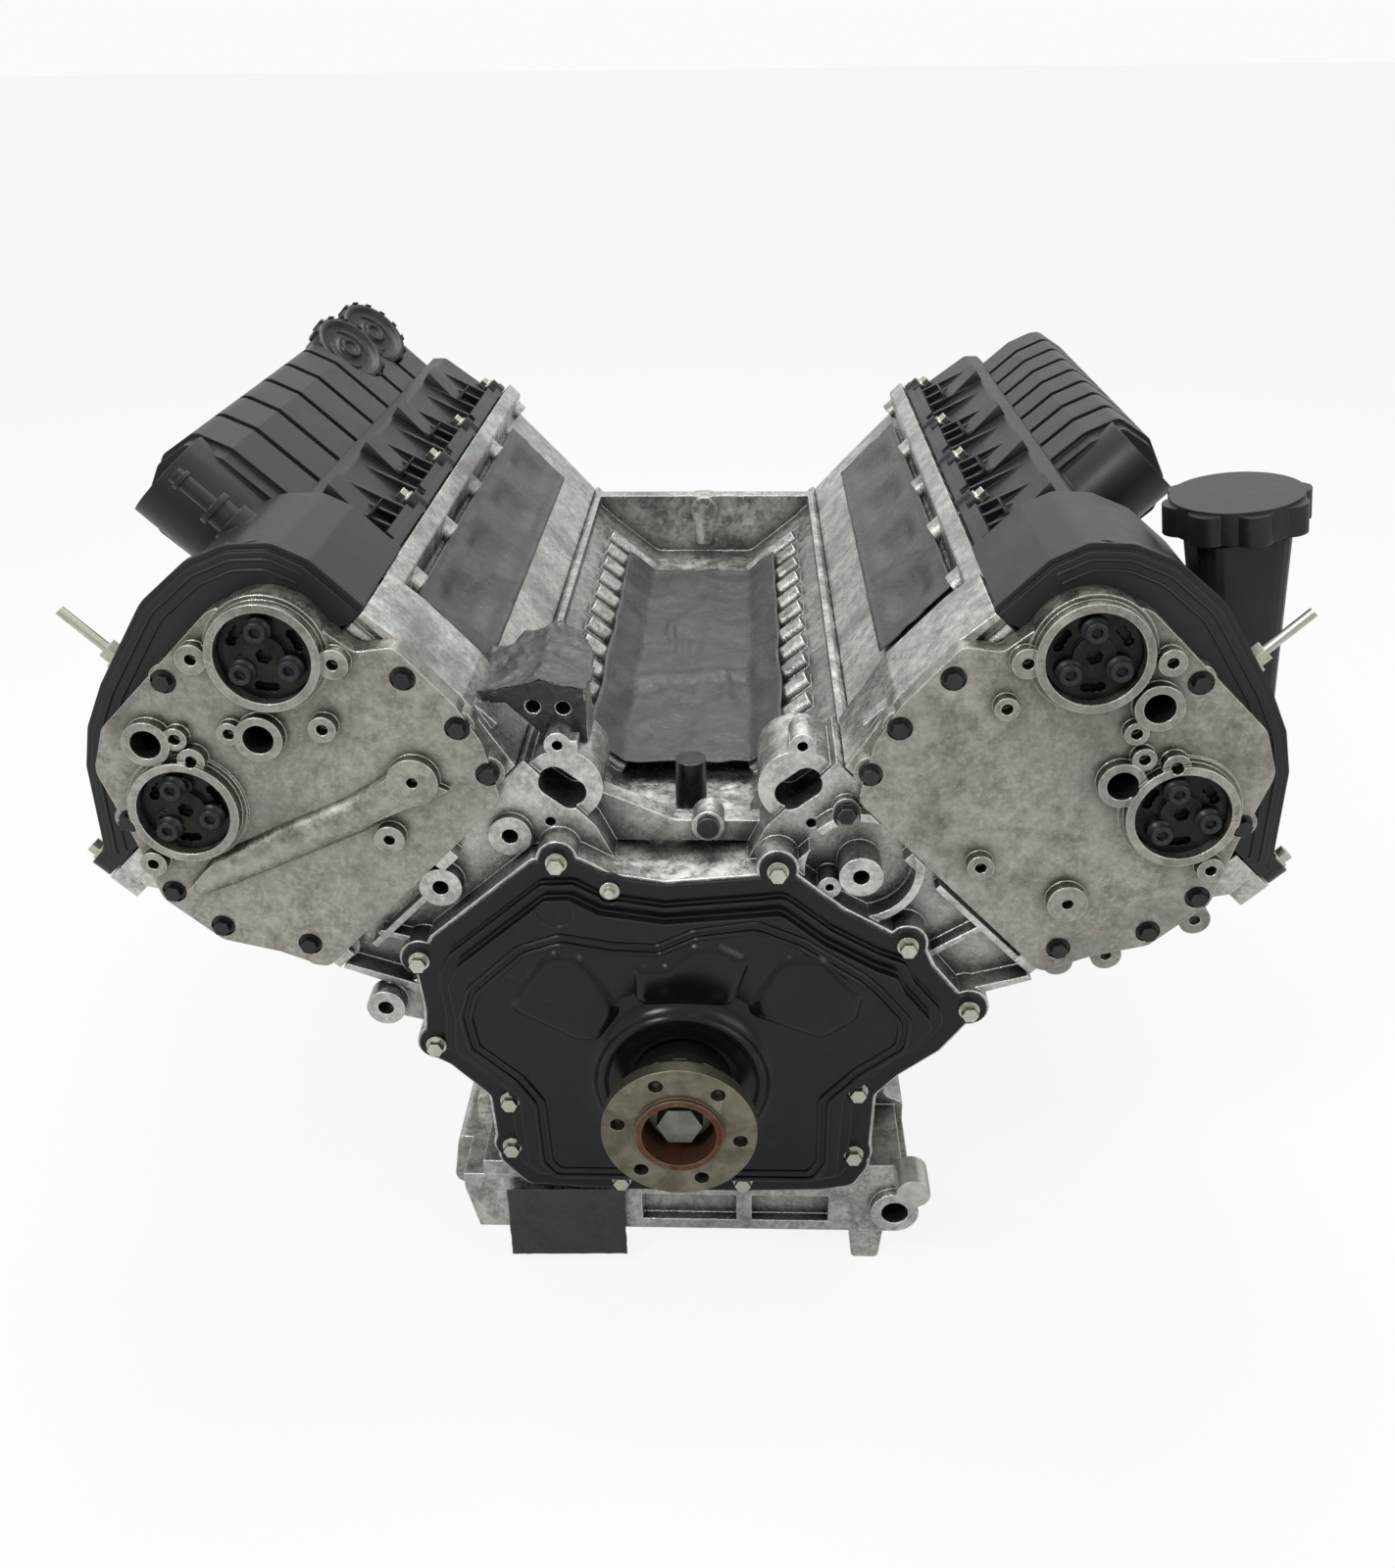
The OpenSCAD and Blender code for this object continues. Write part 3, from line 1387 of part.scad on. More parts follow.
module cam_cover_bolts() {
  color("khaki")
    for (s = [-1, 1])
      bank(s) {
        for (k = [0:5])
          for (u = [rail_bolt_u, outer_u(k)])
            bolt_v(u, rail_y(k), cover_seat + boss_h + seat_gap, 3, boss_h + 12, 9);
        // Stud of the arch
        bolt_v(44, rail_y(0) + 2, 418 + seat_gap, 3, 12, 12);
        translate([44, rail_y(0) + 2, 426])
          cylinder(r = 3, h = 34);
      }
}

// Oil filler

// Frame of the filler neck in the right bank's space
module filler_frame() {
  rotate([0, -45, 0])
    translate([346, 165, 205])
      rotate([0, -8, 0])
        children();
}

neck_len = 116;

neck_top = [[-27, -27, 12], [27, -27, 12], [27, 27, 12], [-27, 27, 12]];
neck_foot = [[-18, -18, 8], [18, -18, 8], [18, 18, 8], [-18, 18, 8]];

module oil_filler_neck() {
  color("#1d1d1f")
    bank(1)
      difference() {
        filler_frame()
          hull() {
            translate([0, 0, neck_len - 3])
              linear_extrude(height = 3)
                polygon(rounded(neck_top));
            translate([0, 0, -26])
              linear_extrude(height = 2)
                polygon(rounded(neck_foot));
          }
        filler_frame()
          translate([0, 0, -8])
            cylinder(r = filler_bore / 2, h = 300);
        prism(rounded(inset(arch_edge, -seat_gap)), arch_front, arch_rear + 40);
      }
}

module filler_seal() {
  color("black")
    bank(1)
      filler_frame()
        difference() {
          union() {
            translate([0, 0, neck_len - 14])
              cylinder(r = filler_bore / 2 - 0.3, h = 14);
            translate([0, 0, neck_len + 0.3])
              cylinder(r = filler_bore / 2 + 5, h = 3);
            translate([0, 0, neck_len - 1])
              cylinder(r = 10, h = 2);
          }
          translate([0, 0, neck_len - 15])
            cylinder(r = 6.3, h = 30);
        }
}

module filler_cap() {
  color("#202022")
    bank(1)
      filler_frame()
        translate([0, 0, neck_len + 3.6])
          difference() {
            union() {
              cylinder(r = filler_cap_dia / 2 - 5, h = 20);
              for (a = [0:45:315])
                rotate([0, 0, a])
                  translate([filler_cap_dia / 2 - 11, 0, 0])
                    cylinder(r = 11, h = 18);
              translate([0, 0, -16])
                cylinder(r = 6, h = 20);
            }
            for (a = [22.5:45:360])
              rotate([0, 0, a])
                translate([filler_cap_dia / 2 + 4, 0, -1])
                  cylinder(r = 9, h = 24);
          }
}

// Breather pieces of the left cover

module breather_canisters() {
  color("#1a1a1c")
    bank(-1)
      for (i = [0, 1])
        canister_frame(i)
          difference() {
            union() {
              cylinder(r = canister_r - 3, h = 22);
              translate([0, 0, 17])
                cylinder(r = canister_r, h = 9);
              translate([0, 0, 25])
                cylinder(r = 11, h = 3);
              // Clip teeth round the rim
              for (a = [0:30:330])
                rotate([0, 0, a])
                  translate([canister_r - 4, -4, 15])
                    cube([5.2, 8, 13]);
            }
            // Round groove in the face
            translate([0, 0, 24])
              difference() {
                cylinder(r = canister_r - 6, h = 4);
                translate([0, 0, -1])
                  cylinder(r = 12, h = 8);
              }
            translate([-4, -2, 26])
              cube([9, 4, 4]);
          }
}

module breather_pipe() {
  color("#161618")
    bank(-1)
      translate([pipe_at[0], pipe_at[1], 412 + seat_gap])
        difference() {
          union() {
            cylinder(r = 9, h = 22);
            translate([0, 0, 21])
              cylinder(r = 11, h = 4);
            translate([0, 0, 25])
              cylinder(r = 5, h = 28);
            translate([0, 0, 46])
              cylinder(r = 6.5, h = 3);
          }
          translate([0, 0, 30])
            cylinder(r = 3, h = 30);
        }
}

// Tapes

module port_tapes() {
  color("#25282b")
    for (s = [-1, 1])
      bank(s)
        prism([[-64.5, 246], [-66.3, 311], [-67.4, 311], [-65.6, 246]],
          cyl_y(s, 0) - 50, cyl_y(s, 3) + 50);
}

module surface_tapes() {
  color("#1f2225") {
    // Over the valley, on its ribs
    prism([[-64, 169.6], [-42, 152], [42, 152], [64, 169.6], [64, 171], [42, 153.2], [-42, 153.2],
      [-64, 171]], 182, 552);
    // Over the front bracket
    prism([[-108, 238.2], [-84, 244.9], [-57, 238.7], [-56.6, 240.1], [-84, 246.4], [-108.4, 239.6]],
      108, chest_rear);
    // Over the sump's front
    prism([[-116, -skirt_depth - 38], [-38, -skirt_depth - 38], [-38, -skirt_depth - 3],
      [-116, -skirt_depth - 3]], cover_face + 6.6, cover_face + 7.7);
  }
}

engine_block();
cylinder_liners();
main_bearing_caps();
main_bearing_shells();
upper_sump();
lower_pan();
rear_seal_carrier();
block_fittings();
crankshaft();
crank_sprockets();
crank_hub();
hub_bolt();
crank_seal();
piston_1();
piston_2();
piston_3();
piston_4();
piston_5();
piston_6();
piston_7();
piston_8();
left_head();
right_head();
head_gaskets();
left_cam_caps();
right_cam_caps();
left_intake_cam();
left_exhaust_cam();
right_intake_cam();
right_exhaust_cam();
left_intake_phaser();
left_exhaust_phaser();
right_intake_phaser();
right_exhaust_phaser();
left_timing_chain();
right_timing_chain();
chain_guides();
left_tension_arm();
right_tension_arm();
left_plunger();
right_plunger();
tensioner_bodies();
timing_cover();
timing_cover_bolts();
left_front_cover();
right_front_cover();
front_cover_bolts();
left_cam_cover();
right_cam_cover();
cam_cover_seals();
cam_cover_bolts();
oil_filler_neck();
filler_seal();
filler_cap();
breather_canisters();
breather_pipe();
port_tapes();
surface_tapes();
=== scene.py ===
import math

import bmesh
import bpy
from mathutils import Matrix, Vector, noise


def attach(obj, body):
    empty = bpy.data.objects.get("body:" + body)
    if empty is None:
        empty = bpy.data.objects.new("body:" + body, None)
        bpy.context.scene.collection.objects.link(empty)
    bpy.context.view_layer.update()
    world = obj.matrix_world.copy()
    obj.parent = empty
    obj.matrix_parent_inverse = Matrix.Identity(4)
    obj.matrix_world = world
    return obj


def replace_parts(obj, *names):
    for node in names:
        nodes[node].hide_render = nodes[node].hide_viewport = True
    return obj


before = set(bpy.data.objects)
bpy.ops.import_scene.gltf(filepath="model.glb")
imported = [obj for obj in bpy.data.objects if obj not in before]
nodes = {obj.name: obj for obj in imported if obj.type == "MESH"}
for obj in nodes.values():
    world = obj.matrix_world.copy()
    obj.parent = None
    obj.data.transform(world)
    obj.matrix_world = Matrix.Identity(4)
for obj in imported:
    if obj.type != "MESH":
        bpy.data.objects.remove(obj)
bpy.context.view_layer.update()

# Shapes are written in millimetres and built in metres. A bank's own axes are u, across its row
# of cylinders, and v, up along them. y runs from front to back, there and in the frame.

MM = 0.001
ROOT2 = math.sqrt(2)
QUARTER_TURN = math.pi / 2


# Camera, at the photograph's angle

SENSOR_MM, LENS_MM, SHIFT_Y = 36, 32.91, -0.05
YAW, PITCH, ROLL = (math.radians(a) for a in (-2.00, 25.38, -0.66))
CAMERA_AT = Vector((0.0369, -0.6594, 0.5942))
CLIP_NEAR, CLIP_FAR = 0.01, 100


def make_camera():
    data = bpy.data.cameras.new("camera")
    data.sensor_width = SENSOR_MM
    data.lens = LENS_MM
    data.shift_y = SHIFT_Y
    data.clip_start = CLIP_NEAR
    data.clip_end = CLIP_FAR
    obj = bpy.data.objects.new("camera", data)
    bpy.context.scene.collection.objects.link(obj)
    ahead = Vector((math.sin(YAW) * math.cos(PITCH), math.cos(YAW) * math.cos(PITCH),
                    -math.sin(PITCH)))
    level = Vector((math.cos(YAW), -math.sin(YAW), 0))
    above = level.cross(ahead)
    right = level * math.cos(ROLL) + above * math.sin(ROLL)
    up = above * math.cos(ROLL) - level * math.sin(ROLL)
    place = Matrix((right, up, -ahead)).transposed().to_4x4()
    place.translation = CAMERA_AT
    obj.matrix_world = place
    bpy.context.scene.camera = obj


make_camera()


# Node helpers

class Mat:
    """A procedural material, with short calls for the nodes it uses."""

    def __init__(self, name, rough=0.5, metal=0.0, spec=0.5):
        self.made = bpy.data.materials.new(name)
        self.made.use_nodes = True
        self.tree = self.made.node_tree
        self.tree.nodes.clear()
        self.output = self.node("OutputMaterial")
        self.shader = self.node("BsdfPrincipled")
        self.link(self.shader.outputs[0], self.output.inputs[0])
        self.shader.inputs["Roughness"].default_value = rough
        self.shader.inputs["Metallic"].default_value = metal
        self.shader.inputs["Specular IOR Level"].default_value = spec
        self.place = self.node("TexCoord").outputs["Object"]

    def node(self, kind, **values):
        made = self.tree.nodes.new("ShaderNode" + kind)
        for key, value in values.items():
            setattr(made, key, value)
        return made

    def link(self, value, socket):
        self.tree.links.new(value, socket)

    def put(self, socket, value):
        """Links a socket's value, or sets a plain one."""
        if isinstance(value, bpy.types.NodeSocket):
            self.link(value, socket)
        else:
            socket.default_value = value

    def noise(self, scale, detail=4, rough=0.55, warp=0.0, stretch=None):
        made = self.node("TexNoise")
        made.inputs["Scale"].default_value = scale
        made.inputs["Detail"].default_value = detail
        made.inputs["Roughness"].default_value = rough
        made.inputs["Distortion"].default_value = warp
        place = self.place
        if stretch:
            mapping = self.node("Mapping")
            mapping.inputs["Scale"].default_value = stretch
            self.link(place, mapping.inputs[0])
            place = mapping.outputs[0]
        self.link(place, made.inputs["Vector"])
        return made.outputs[0]

    def wave(self, axis, scale):
        made = self.node("TexWave", bands_direction=axis)
        made.inputs["Scale"].default_value = scale
        self.link(self.place, made.inputs["Vector"])
        return made.outputs[1]

    def axes(self):
        """The three coordinates of the point that is shaded, in metres."""
        made = self.node("SeparateXYZ")
        self.link(self.place, made.inputs[0])
        return made.outputs

    def math(self, op, a, b=0.0):
        made = self.node("Math", operation=op)
        self.put(made.inputs[0], a)
        self.put(made.inputs[1], b)
        return made.outputs[0]

    def times(self, a, b):
        return self.math("MULTIPLY", a, b)

    def plus(self, a, b):
        return self.math("ADD", a, b)

    def span(self, value, from_low, from_high, to_low=0.0, to_high=1.0):
        made = self.node("MapRange")
        self.put(made.inputs[0], value)
        for i, limit in enumerate((from_low, from_high, to_low, to_high)):
            made.inputs[i + 1].default_value = limit
        return made.outputs[0]

    def mix(self, share, a, b):
        made = self.node("Mix", data_type="RGBA", blend_type="MIX")
        self.put(made.inputs[0], share)
        for socket, value in ((made.inputs[6], a), (made.inputs[7], b)):
            self.put(socket, (*value, 1) if isinstance(value, tuple) else value)
        return made.outputs[2]

    def edges(self, radius):
        """Mask of the convex and concave edges, and the normal softened over them."""
        bevel = self.node("Bevel", samples=4)
        bevel.inputs["Radius"].default_value = radius
        geometry = self.node("NewGeometry")
        dot = self.node("VectorMath", operation="DOT_PRODUCT")
        self.link(bevel.outputs[0], dot.inputs[0])
        self.link(geometry.outputs["Normal"], dot.inputs[1])
        return self.span(dot.outputs["Value"], 0.995, 0.86), bevel.outputs[0]

    def facing_up(self):
        """How far the surface faces up, from 0 to 1."""
        geometry = self.node("NewGeometry")
        parts = self.node("SeparateXYZ")
        self.link(geometry.outputs["Normal"], parts.inputs[0])
        return self.span(parts.outputs[2], -0.1, 1.0)

    def corner_shade(self, distance, low, high):
        """Mask of the deep corners, for the painted shade that darkens the colour there."""
        shut = self.node("AmbientOcclusion", samples=4, only_local=True)
        shut.inputs["Distance"].default_value = distance
        return self.span(shut.outputs["AO"], high, low)

    def bump(self, height, dist, strength, normal=None):
        made = self.node("Bump")
        made.inputs["Strength"].default_value = strength
        made.inputs["Distance"].default_value = dist
        self.link(height, made.inputs["Height"])
        if normal:
            self.link(normal, made.inputs["Normal"])
        self.link(made.outputs[0], self.shader.inputs["Normal"])

    def colour(self, value):
        self.put(self.shader.inputs["Base Color"], value)

    def rough(self, value):
        self.put(self.shader.inputs["Roughness"], value)


def shade(colour, gain, lift=0.0, top=1.0):
    """A colour made darker or lighter."""
    return tuple(min(top, c * gain + lift) for c in colour)


# Materials. rough is the least and the most roughness, and edge the radius, in metres, of the
# painted highlight along an edge.

def cast(name, dark, mid, light, metal, rough, grain, edge, stain, teal):
    """Sand-cast metal: mottled, stained, gritty, with painted shade in its deep corners and a
    painted highlight along its edges.
    """
    m = Mat(name, metal=metal)
    big = m.noise(9, detail=5, rough=0.6, warp=0.2)
    small = m.noise(90, detail=6, rough=0.6)
    grit = m.noise(900, detail=3, rough=0.6)
    speck = m.noise(300, detail=5, rough=0.7, warp=0.3)
    col = m.mix(m.span(small, 0.34, 0.64), dark, light)
    col = m.mix(m.span(big, 0.30, 0.62, 0.35, 0.8), col, mid)
    col = m.mix(m.times(m.span(speck, 0.44, 0.66), 0.4), col, shade(light, 1.12))
    blot = m.times(m.span(m.noise(15, detail=5, rough=0.6, warp=0.2), 0.50, 0.74), stain)
    col = m.mix(blot, col, shade(dark, 0.42))
    tint = m.times(m.span(m.noise(14, detail=3, rough=0.5, warp=0.8), 0.55, 0.75), teal)
    col = m.mix(tint, col, (mid[0] * 0.72, mid[1] * 0.98, mid[2] * 1.02))
    # Painted shade: the deep corners, found by ambient occlusion, are darkened.
    corners = m.corner_shade(distance=0.026, low=0.40, high=0.92)
    deep = m.times(corners, m.span(small, 0.25, 0.6, 0.6, 1.0))
    col = m.mix(deep, col, (dark[0] * 0.24, dark[1] * 0.23, dark[2] * 0.19))
    highlight_mask, soft = m.edges(edge)
    # Painted highlight: the edges, convex and concave, made lighter.
    col = m.mix(m.times(highlight_mask, 0.75), col, shade(light, 1.6, top=0.95))
    m.colour(col)
    m.rough(m.span(m.plus(small, m.times(speck, 0.6)), 0.60, 1.0, *rough))
    height = m.plus(m.times(grit, 0.5), m.times(small, 0.9))
    height = m.plus(height, m.times(m.noise(34, detail=2, rough=0.4, warp=0.4), 3.2))
    m.bump(height, dist=grain, strength=0.85, normal=soft)
    return m.made


def machined(name, base, other, metal, rough, edge, oil=0.0):
    """Turned or milled metal with fine lines, stains and a painted highlight along its edges."""
    m = Mat(name, metal=metal)
    patch = m.noise(45, detail=5, rough=0.6, warp=0.8)
    fine = m.noise(500, detail=2, rough=0.5, stretch=(1, 0.15, 1))
    col = m.mix(m.span(patch, 0.35, 0.68), base, other)
    if oil:
        wet = m.times(m.span(m.noise(22, detail=4, rough=0.6, warp=1.5), 0.45, 0.66), oil)
        col = m.mix(wet, col, shade(other, 0.35))
    highlight_mask, soft = m.edges(edge)
    # Painted highlight: the edges, convex and concave, made lighter.
    col = m.mix(m.times(highlight_mask, 0.5), col, shade(base, 1.5, 0.04))
    m.colour(col)
    m.rough(m.span(m.plus(patch, m.times(fine, 0.6)), 0.5, 1.1, *rough))
    m.bump(fine, dist=0.00006, strength=0.6, normal=soft)
    return m.made


def plastic(name, base, dust, rough, grain, edge, dusty, spec=0.5):
    """Moulded black plastic or coating: fine texture, lighter on top from dust and painted top
    light, with a painted highlight along its edges.
    """
    m = Mat(name, spec=spec)
    cloud = m.noise(16, detail=5, rough=0.6, warp=0.7)
    grit = m.noise(1400, detail=2, rough=0.5)
    scuff = m.noise(60, detail=6, rough=0.75, warp=2.0)
    col = m.mix(m.span(cloud, 0.35, 0.7), base, shade(base, 1.5, 0.002))
    # Dust and painted top light: the faces that turn up are made lighter, partly as dust and
    # partly as light from above.
    dust_and_top_light = m.times(m.times(m.facing_up(), m.span(cloud, 0.3, 0.75)), dusty)
    col = m.mix(dust_and_top_light, col, dust)
    marks = m.times(m.span(scuff, 0.6, 0.72), 0.25)
    col = m.mix(marks, col, dust)
    highlight_mask, soft = m.edges(edge)
    # Painted highlight: the edges, convex and concave, made lighter.
    col = m.mix(m.times(highlight_mask, 0.5), col, shade(base, 3, 0.045))
    m.colour(col)
    m.rough(m.span(m.plus(cloud, m.times(scuff, 0.6)), 0.5, 1.1, *rough))
    m.bump(m.plus(grit, m.times(scuff, 0.15)), dist=grain, strength=0.7, normal=soft)
    return m.made


def zinc(name, base, green, rough):
    """Passivated zinc: pale yellow-green with a soft rainbow mottle."""
    m = Mat(name, metal=0.95)
    fine = m.noise(160, detail=4, rough=0.6, warp=0.6)
    wide = m.noise(60, detail=3, rough=0.5, warp=1.0)
    col = m.mix(m.span(fine, 0.35, 0.65), base, green)
    col = m.mix(m.times(m.span(wide, 0.5, 0.7), 0.35), col, (0.45, 0.42, 0.36))
    highlight_mask, soft = m.edges(0.0005)
    # Painted highlight: the edges, convex and concave, made lighter.
    col = m.mix(m.times(highlight_mask, 0.5), col, (0.85, 0.85, 0.8))
    m.colour(col)
    m.rough(m.span(fine, 0.3, 0.7, *rough))
    m.bump(m.noise(1500, detail=2), dist=0.00004, strength=0.5, normal=soft)
    return m.made


def tape(name, base, worn, dust):
    """Black cloth-backed tape: satin, crumpled, with a faint weave and dusty creases."""
    m = Mat(name, spec=0.55)
    patch = m.noise(26, detail=5, rough=0.6, warp=1.5)
    crease = m.noise(90, detail=6, rough=0.7, warp=2.5)
    threads = 420
    weave = m.times(m.wave("X", threads), m.wave("Y", threads))
    col = m.mix(m.span(patch, 0.35, 0.7), base, worn)
    col = m.mix(m.times(m.span(crease, 0.55, 0.75), 0.4), col, dust)
    m.colour(col)
    m.rough(m.span(patch, 0.3, 0.75, 0.24, 0.42))
    height = m.plus(m.times(crease, 1.0), m.times(weave, 0.03))
    height = m.plus(height, m.times(m.noise(22, detail=3, rough=0.5, warp=1.2), 2.0))
    m.bump(height, dist=0.0016, strength=0.6)
    return m.made


def hub_metal(name):
    """Oiled steel flange, yellow-brown, rusty on the pilot ring, with painted shade behind its
    face and a painted highlight along its edges.
    """
    steel, aged, grime = (0.17, 0.158, 0.118), (0.095, 0.085, 0.06), (0.045, 0.038, 0.024)
    rusty, shadow, bright = (0.10, 0.036, 0.015), (0.030, 0.027, 0.022), (0.40, 0.38, 0.30)
    ring_out, ring_in = 0.0285, 0.0255
    m = Mat(name, metal=0.85)
    fine = m.noise(60, detail=6, rough=0.65, warp=1.0)
    wide = m.noise(20, detail=4, rough=0.6, warp=1.2)
    col = m.mix(m.span(fine, 0.35, 0.65), steel, aged)
    col = m.mix(m.times(m.span(wide, 0.5, 0.68), 0.6), col, grime)
    x, y, z = m.axes()
    radius = m.math("SQRT", m.plus(m.math("POWER", x, 2.0), m.math("POWER", z, 2.0)))
    ring = m.span(radius, ring_out, ring_in)
    rust = m.times(ring, m.span(fine, 0.2, 0.6, 0.45, 1.0))
    col = m.mix(rust, col, rusty)
    # Painted shade: the outer part behind the flange's face is darkened.
    behind = m.span(y, 0.010, 0.016)
    outer = m.times(behind, m.span(radius, 0.024, 0.028))
    col = m.mix(m.times(outer, 0.85), col, shadow)
    highlight_mask, soft = m.edges(0.0008)
    # Painted highlight: the edges, convex and concave, made lighter.
    col = m.mix(m.times(highlight_mask, 0.45), col, bright)
    m.colour(col)
    m.rough(m.span(m.plus(fine, m.times(rust, 0.6)), 0.35, 1.2, 0.28, 0.75))
    m.bump(m.noise(800, detail=3, rough=0.6), dist=0.0001, strength=0.6, normal=soft)
    return m.made


def fittings(name):
    """Black steel for the valley's pipe and bolt, bright zinc for the plug at the side."""
    black, black_worn = (0.022, 0.022, 0.024), (0.045, 0.045, 0.047)
    bright, bright_worn = (0.40, 0.40, 0.37), (0.56, 0.56, 0.52)
    x_black, x_bright = 0.118, 0.122
    m = Mat(name, metal=0.8)
    fine = m.noise(120, detail=4, rough=0.6, warp=0.5)
    at_side = m.span(m.axes()[0], x_black, x_bright)
    col = m.mix(m.span(fine, 0.35, 0.65), black, black_worn)
    shiny = m.mix(m.span(fine, 0.35, 0.65), bright, bright_worn)
    col = m.mix(at_side, col, shiny)
    highlight_mask, soft = m.edges(0.0008)
    # Painted highlight: the edges, convex and concave, made lighter.
    col = m.mix(m.times(highlight_mask, 0.35), col, (0.6, 0.6, 0.58))
    m.colour(col)
    m.rough(m.span(fine, 0.3, 0.7, 0.25, 0.45))
    m.bump(m.noise(900, detail=3), dist=0.00006, strength=0.6, normal=soft)
    return m.made


MATERIALS = {name: maker(name, **look) for name, maker, look in (
    ("cast_aluminium", cast, dict(
        dark=(0.12, 0.118, 0.105), mid=(0.32, 0.315, 0.29), light=(0.80, 0.80, 0.77),
        metal=0.88, rough=(0.14, 0.44), grain=0.00055, edge=0.0012, stain=0.75, teal=0.4)),
    ("cover_casting", cast, dict(
        dark=(0.105, 0.10, 0.084), mid=(0.215, 0.205, 0.178), light=(0.47, 0.455, 0.41),
        metal=0.85, rough=(0.16, 0.44), grain=0.00045, edge=0.0012, stain=0.6, teal=0.5)),
    ("inner_aluminium", machined, dict(
        base=(0.62, 0.62, 0.60), other=(0.48, 0.48, 0.47),
        metal=0.9, rough=(0.25, 0.5), edge=0.0008)),
    ("forged_steel", machined, dict(
        base=(0.34, 0.33, 0.32), other=(0.24, 0.23, 0.22),
        metal=0.95, rough=(0.25, 0.5), edge=0.0008, oil=0.3)),
    ("hub_steel", hub_metal, {}),
    ("cast_iron", cast, dict(
        dark=(0.12, 0.115, 0.11), mid=(0.17, 0.165, 0.16), light=(0.24, 0.23, 0.22),
        metal=0.7, rough=(0.4, 0.65), grain=0.0003, edge=0.0008, stain=0.5, teal=0.25)),
    ("black_cover_steel", plastic, dict(
        base=(0.003, 0.0035, 0.004), dust=(0.030, 0.034, 0.034),
        rough=(0.12, 0.24), grain=0.00002, edge=0.0020, dusty=0.06, spec=0.24)),
    ("black_plastic", plastic, dict(
        base=(0.0065, 0.007, 0.008), dust=(0.045, 0.047, 0.05),
        rough=(0.30, 0.50), grain=0.00008, edge=0.0013, dusty=0.14, spec=0.34)),
    ("zinc_steel", zinc, dict(
        base=(0.46, 0.46, 0.41), green=(0.36, 0.385, 0.31), rough=(0.22, 0.42))),
    ("black_steel", machined, dict(
        base=(0.035, 0.035, 0.035), other=(0.020, 0.020, 0.022),
        metal=0.7, rough=(0.28, 0.45), edge=0.0005)),
    ("block_fittings", fittings, {}),
    ("phaser_steel", machined, dict(
        base=(0.024, 0.022, 0.018), other=(0.011, 0.0105, 0.0095),
        metal=0.85, rough=(0.20, 0.45), edge=0.0006, oil=0.6)),
    ("bolt_steel", machined, dict(
        base=(0.17, 0.17, 0.15), other=(0.10, 0.10, 0.09),
        metal=0.9, rough=(0.3, 0.5), edge=0.0008, oil=0.3)),
    # A darker copy of the black tape: painted shade for tape on faces turned to the front.
    ("dark_tape", tape, dict(
        base=(0.007, 0.0075, 0.008), worn=(0.014, 0.015, 0.0155), dust=(0.05, 0.052, 0.052))),
    ("rubber", plastic, dict(
        base=(0.010, 0.010, 0.010), dust=(0.03, 0.03, 0.03),
        rough=(0.5, 0.75), grain=0.00008, edge=0.0006, dusty=0.1, spec=0.3)),
    ("guide_plastic", plastic, dict(
        base=(0.22, 0.14, 0.07), dust=(0.3, 0.22, 0.14),
        rough=(0.4, 0.6), grain=0.00006, edge=0.0008, dusty=0.1)),
    ("black_tape", tape, dict(
        base=(0.020, 0.022, 0.021), worn=(0.045, 0.049, 0.046), dust=(0.10, 0.105, 0.098))),
)}

# The CAD nodes of each material. Pistons and phasers go by their names, and the rest is forged
# steel.

NODES_OF = {
    "cast_aluminium": ("engine_block", "upper_sump", "left_head", "right_head"),
    "cover_casting": ("left_front_cover", "right_front_cover"),
    "cast_iron": ("cylinder_liners", "main_bearing_caps"),
    "inner_aluminium": ("main_bearing_shells", "left_cam_caps", "right_cam_caps",
                        "tensioner_bodies"),
    "black_cover_steel": ("lower_pan", "timing_cover"),
    "black_plastic": ("rear_seal_carrier", "left_cam_cover", "right_cam_cover",
                      "oil_filler_neck", "filler_cap", "breather_canisters", "breather_pipe"),
    "block_fittings": ("block_fittings",),
    "hub_steel": ("crank_hub",),
    "bolt_steel": ("hub_bolt",),
    "rubber": ("crank_seal", "cam_cover_seals", "filler_seal"),
    "black_steel": ("head_gaskets", "front_cover_bolts"),
    "guide_plastic": ("chain_guides", "left_tension_arm", "right_tension_arm"),
    "zinc_steel": ("timing_cover_bolts", "cam_cover_bolts"),
    "black_tape": ("port_tapes", "surface_tapes"),
}
FINISH = {node: finish for finish, members in NODES_OF.items() for node in members}


def finish_for(name):
    if name in FINISH:
        return FINISH[name]
    if name.startswith("piston"):
        return "inner_aluminium"
    if "phaser" in name:
        return "phaser_steel"
    return "forged_steel"


for name, obj in nodes.items():
    obj.data.materials.clear()
    obj.data.materials.append(MATERIALS[finish_for(name)])


# Mesh helpers. The films' thickness is in metres.

FILM_THICK, CUT_FILM_THICK = 0.0004, 0.0005


def at(x, y, z):
    """Point in the frame."""
    return Vector((x, y, z)) * MM


def bank(side, u, y, v):
    """Point on a bank, -1 for the left one and 1 for the right one."""
    return at(side * (u + v) / ROOT2, y, (v - u) / ROOT2)


def piece(name, bm, finish, body="block"):
    """New piece of the object, riding on a body."""
    mesh = bpy.data.meshes.new(name)
    bmesh.ops.recalc_face_normals(bm, faces=bm.faces)
    bm.to_mesh(mesh)
    bm.free()
    for face in mesh.polygons:
        face.use_smooth = True
    mesh.materials.append(MATERIALS[finish])
    obj = bpy.data.objects.new(name, mesh)
    bpy.context.scene.collection.objects.link(obj)
    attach(obj, body)
    return obj


def strip(bm, a, b, count, closed=False):
    """Faces between two rows of points."""
    for k in range(count):
        n = (k + 1) % len(a) if closed else k + 1
        bm.faces.new((a[k], a[n], b[n], b[k]))


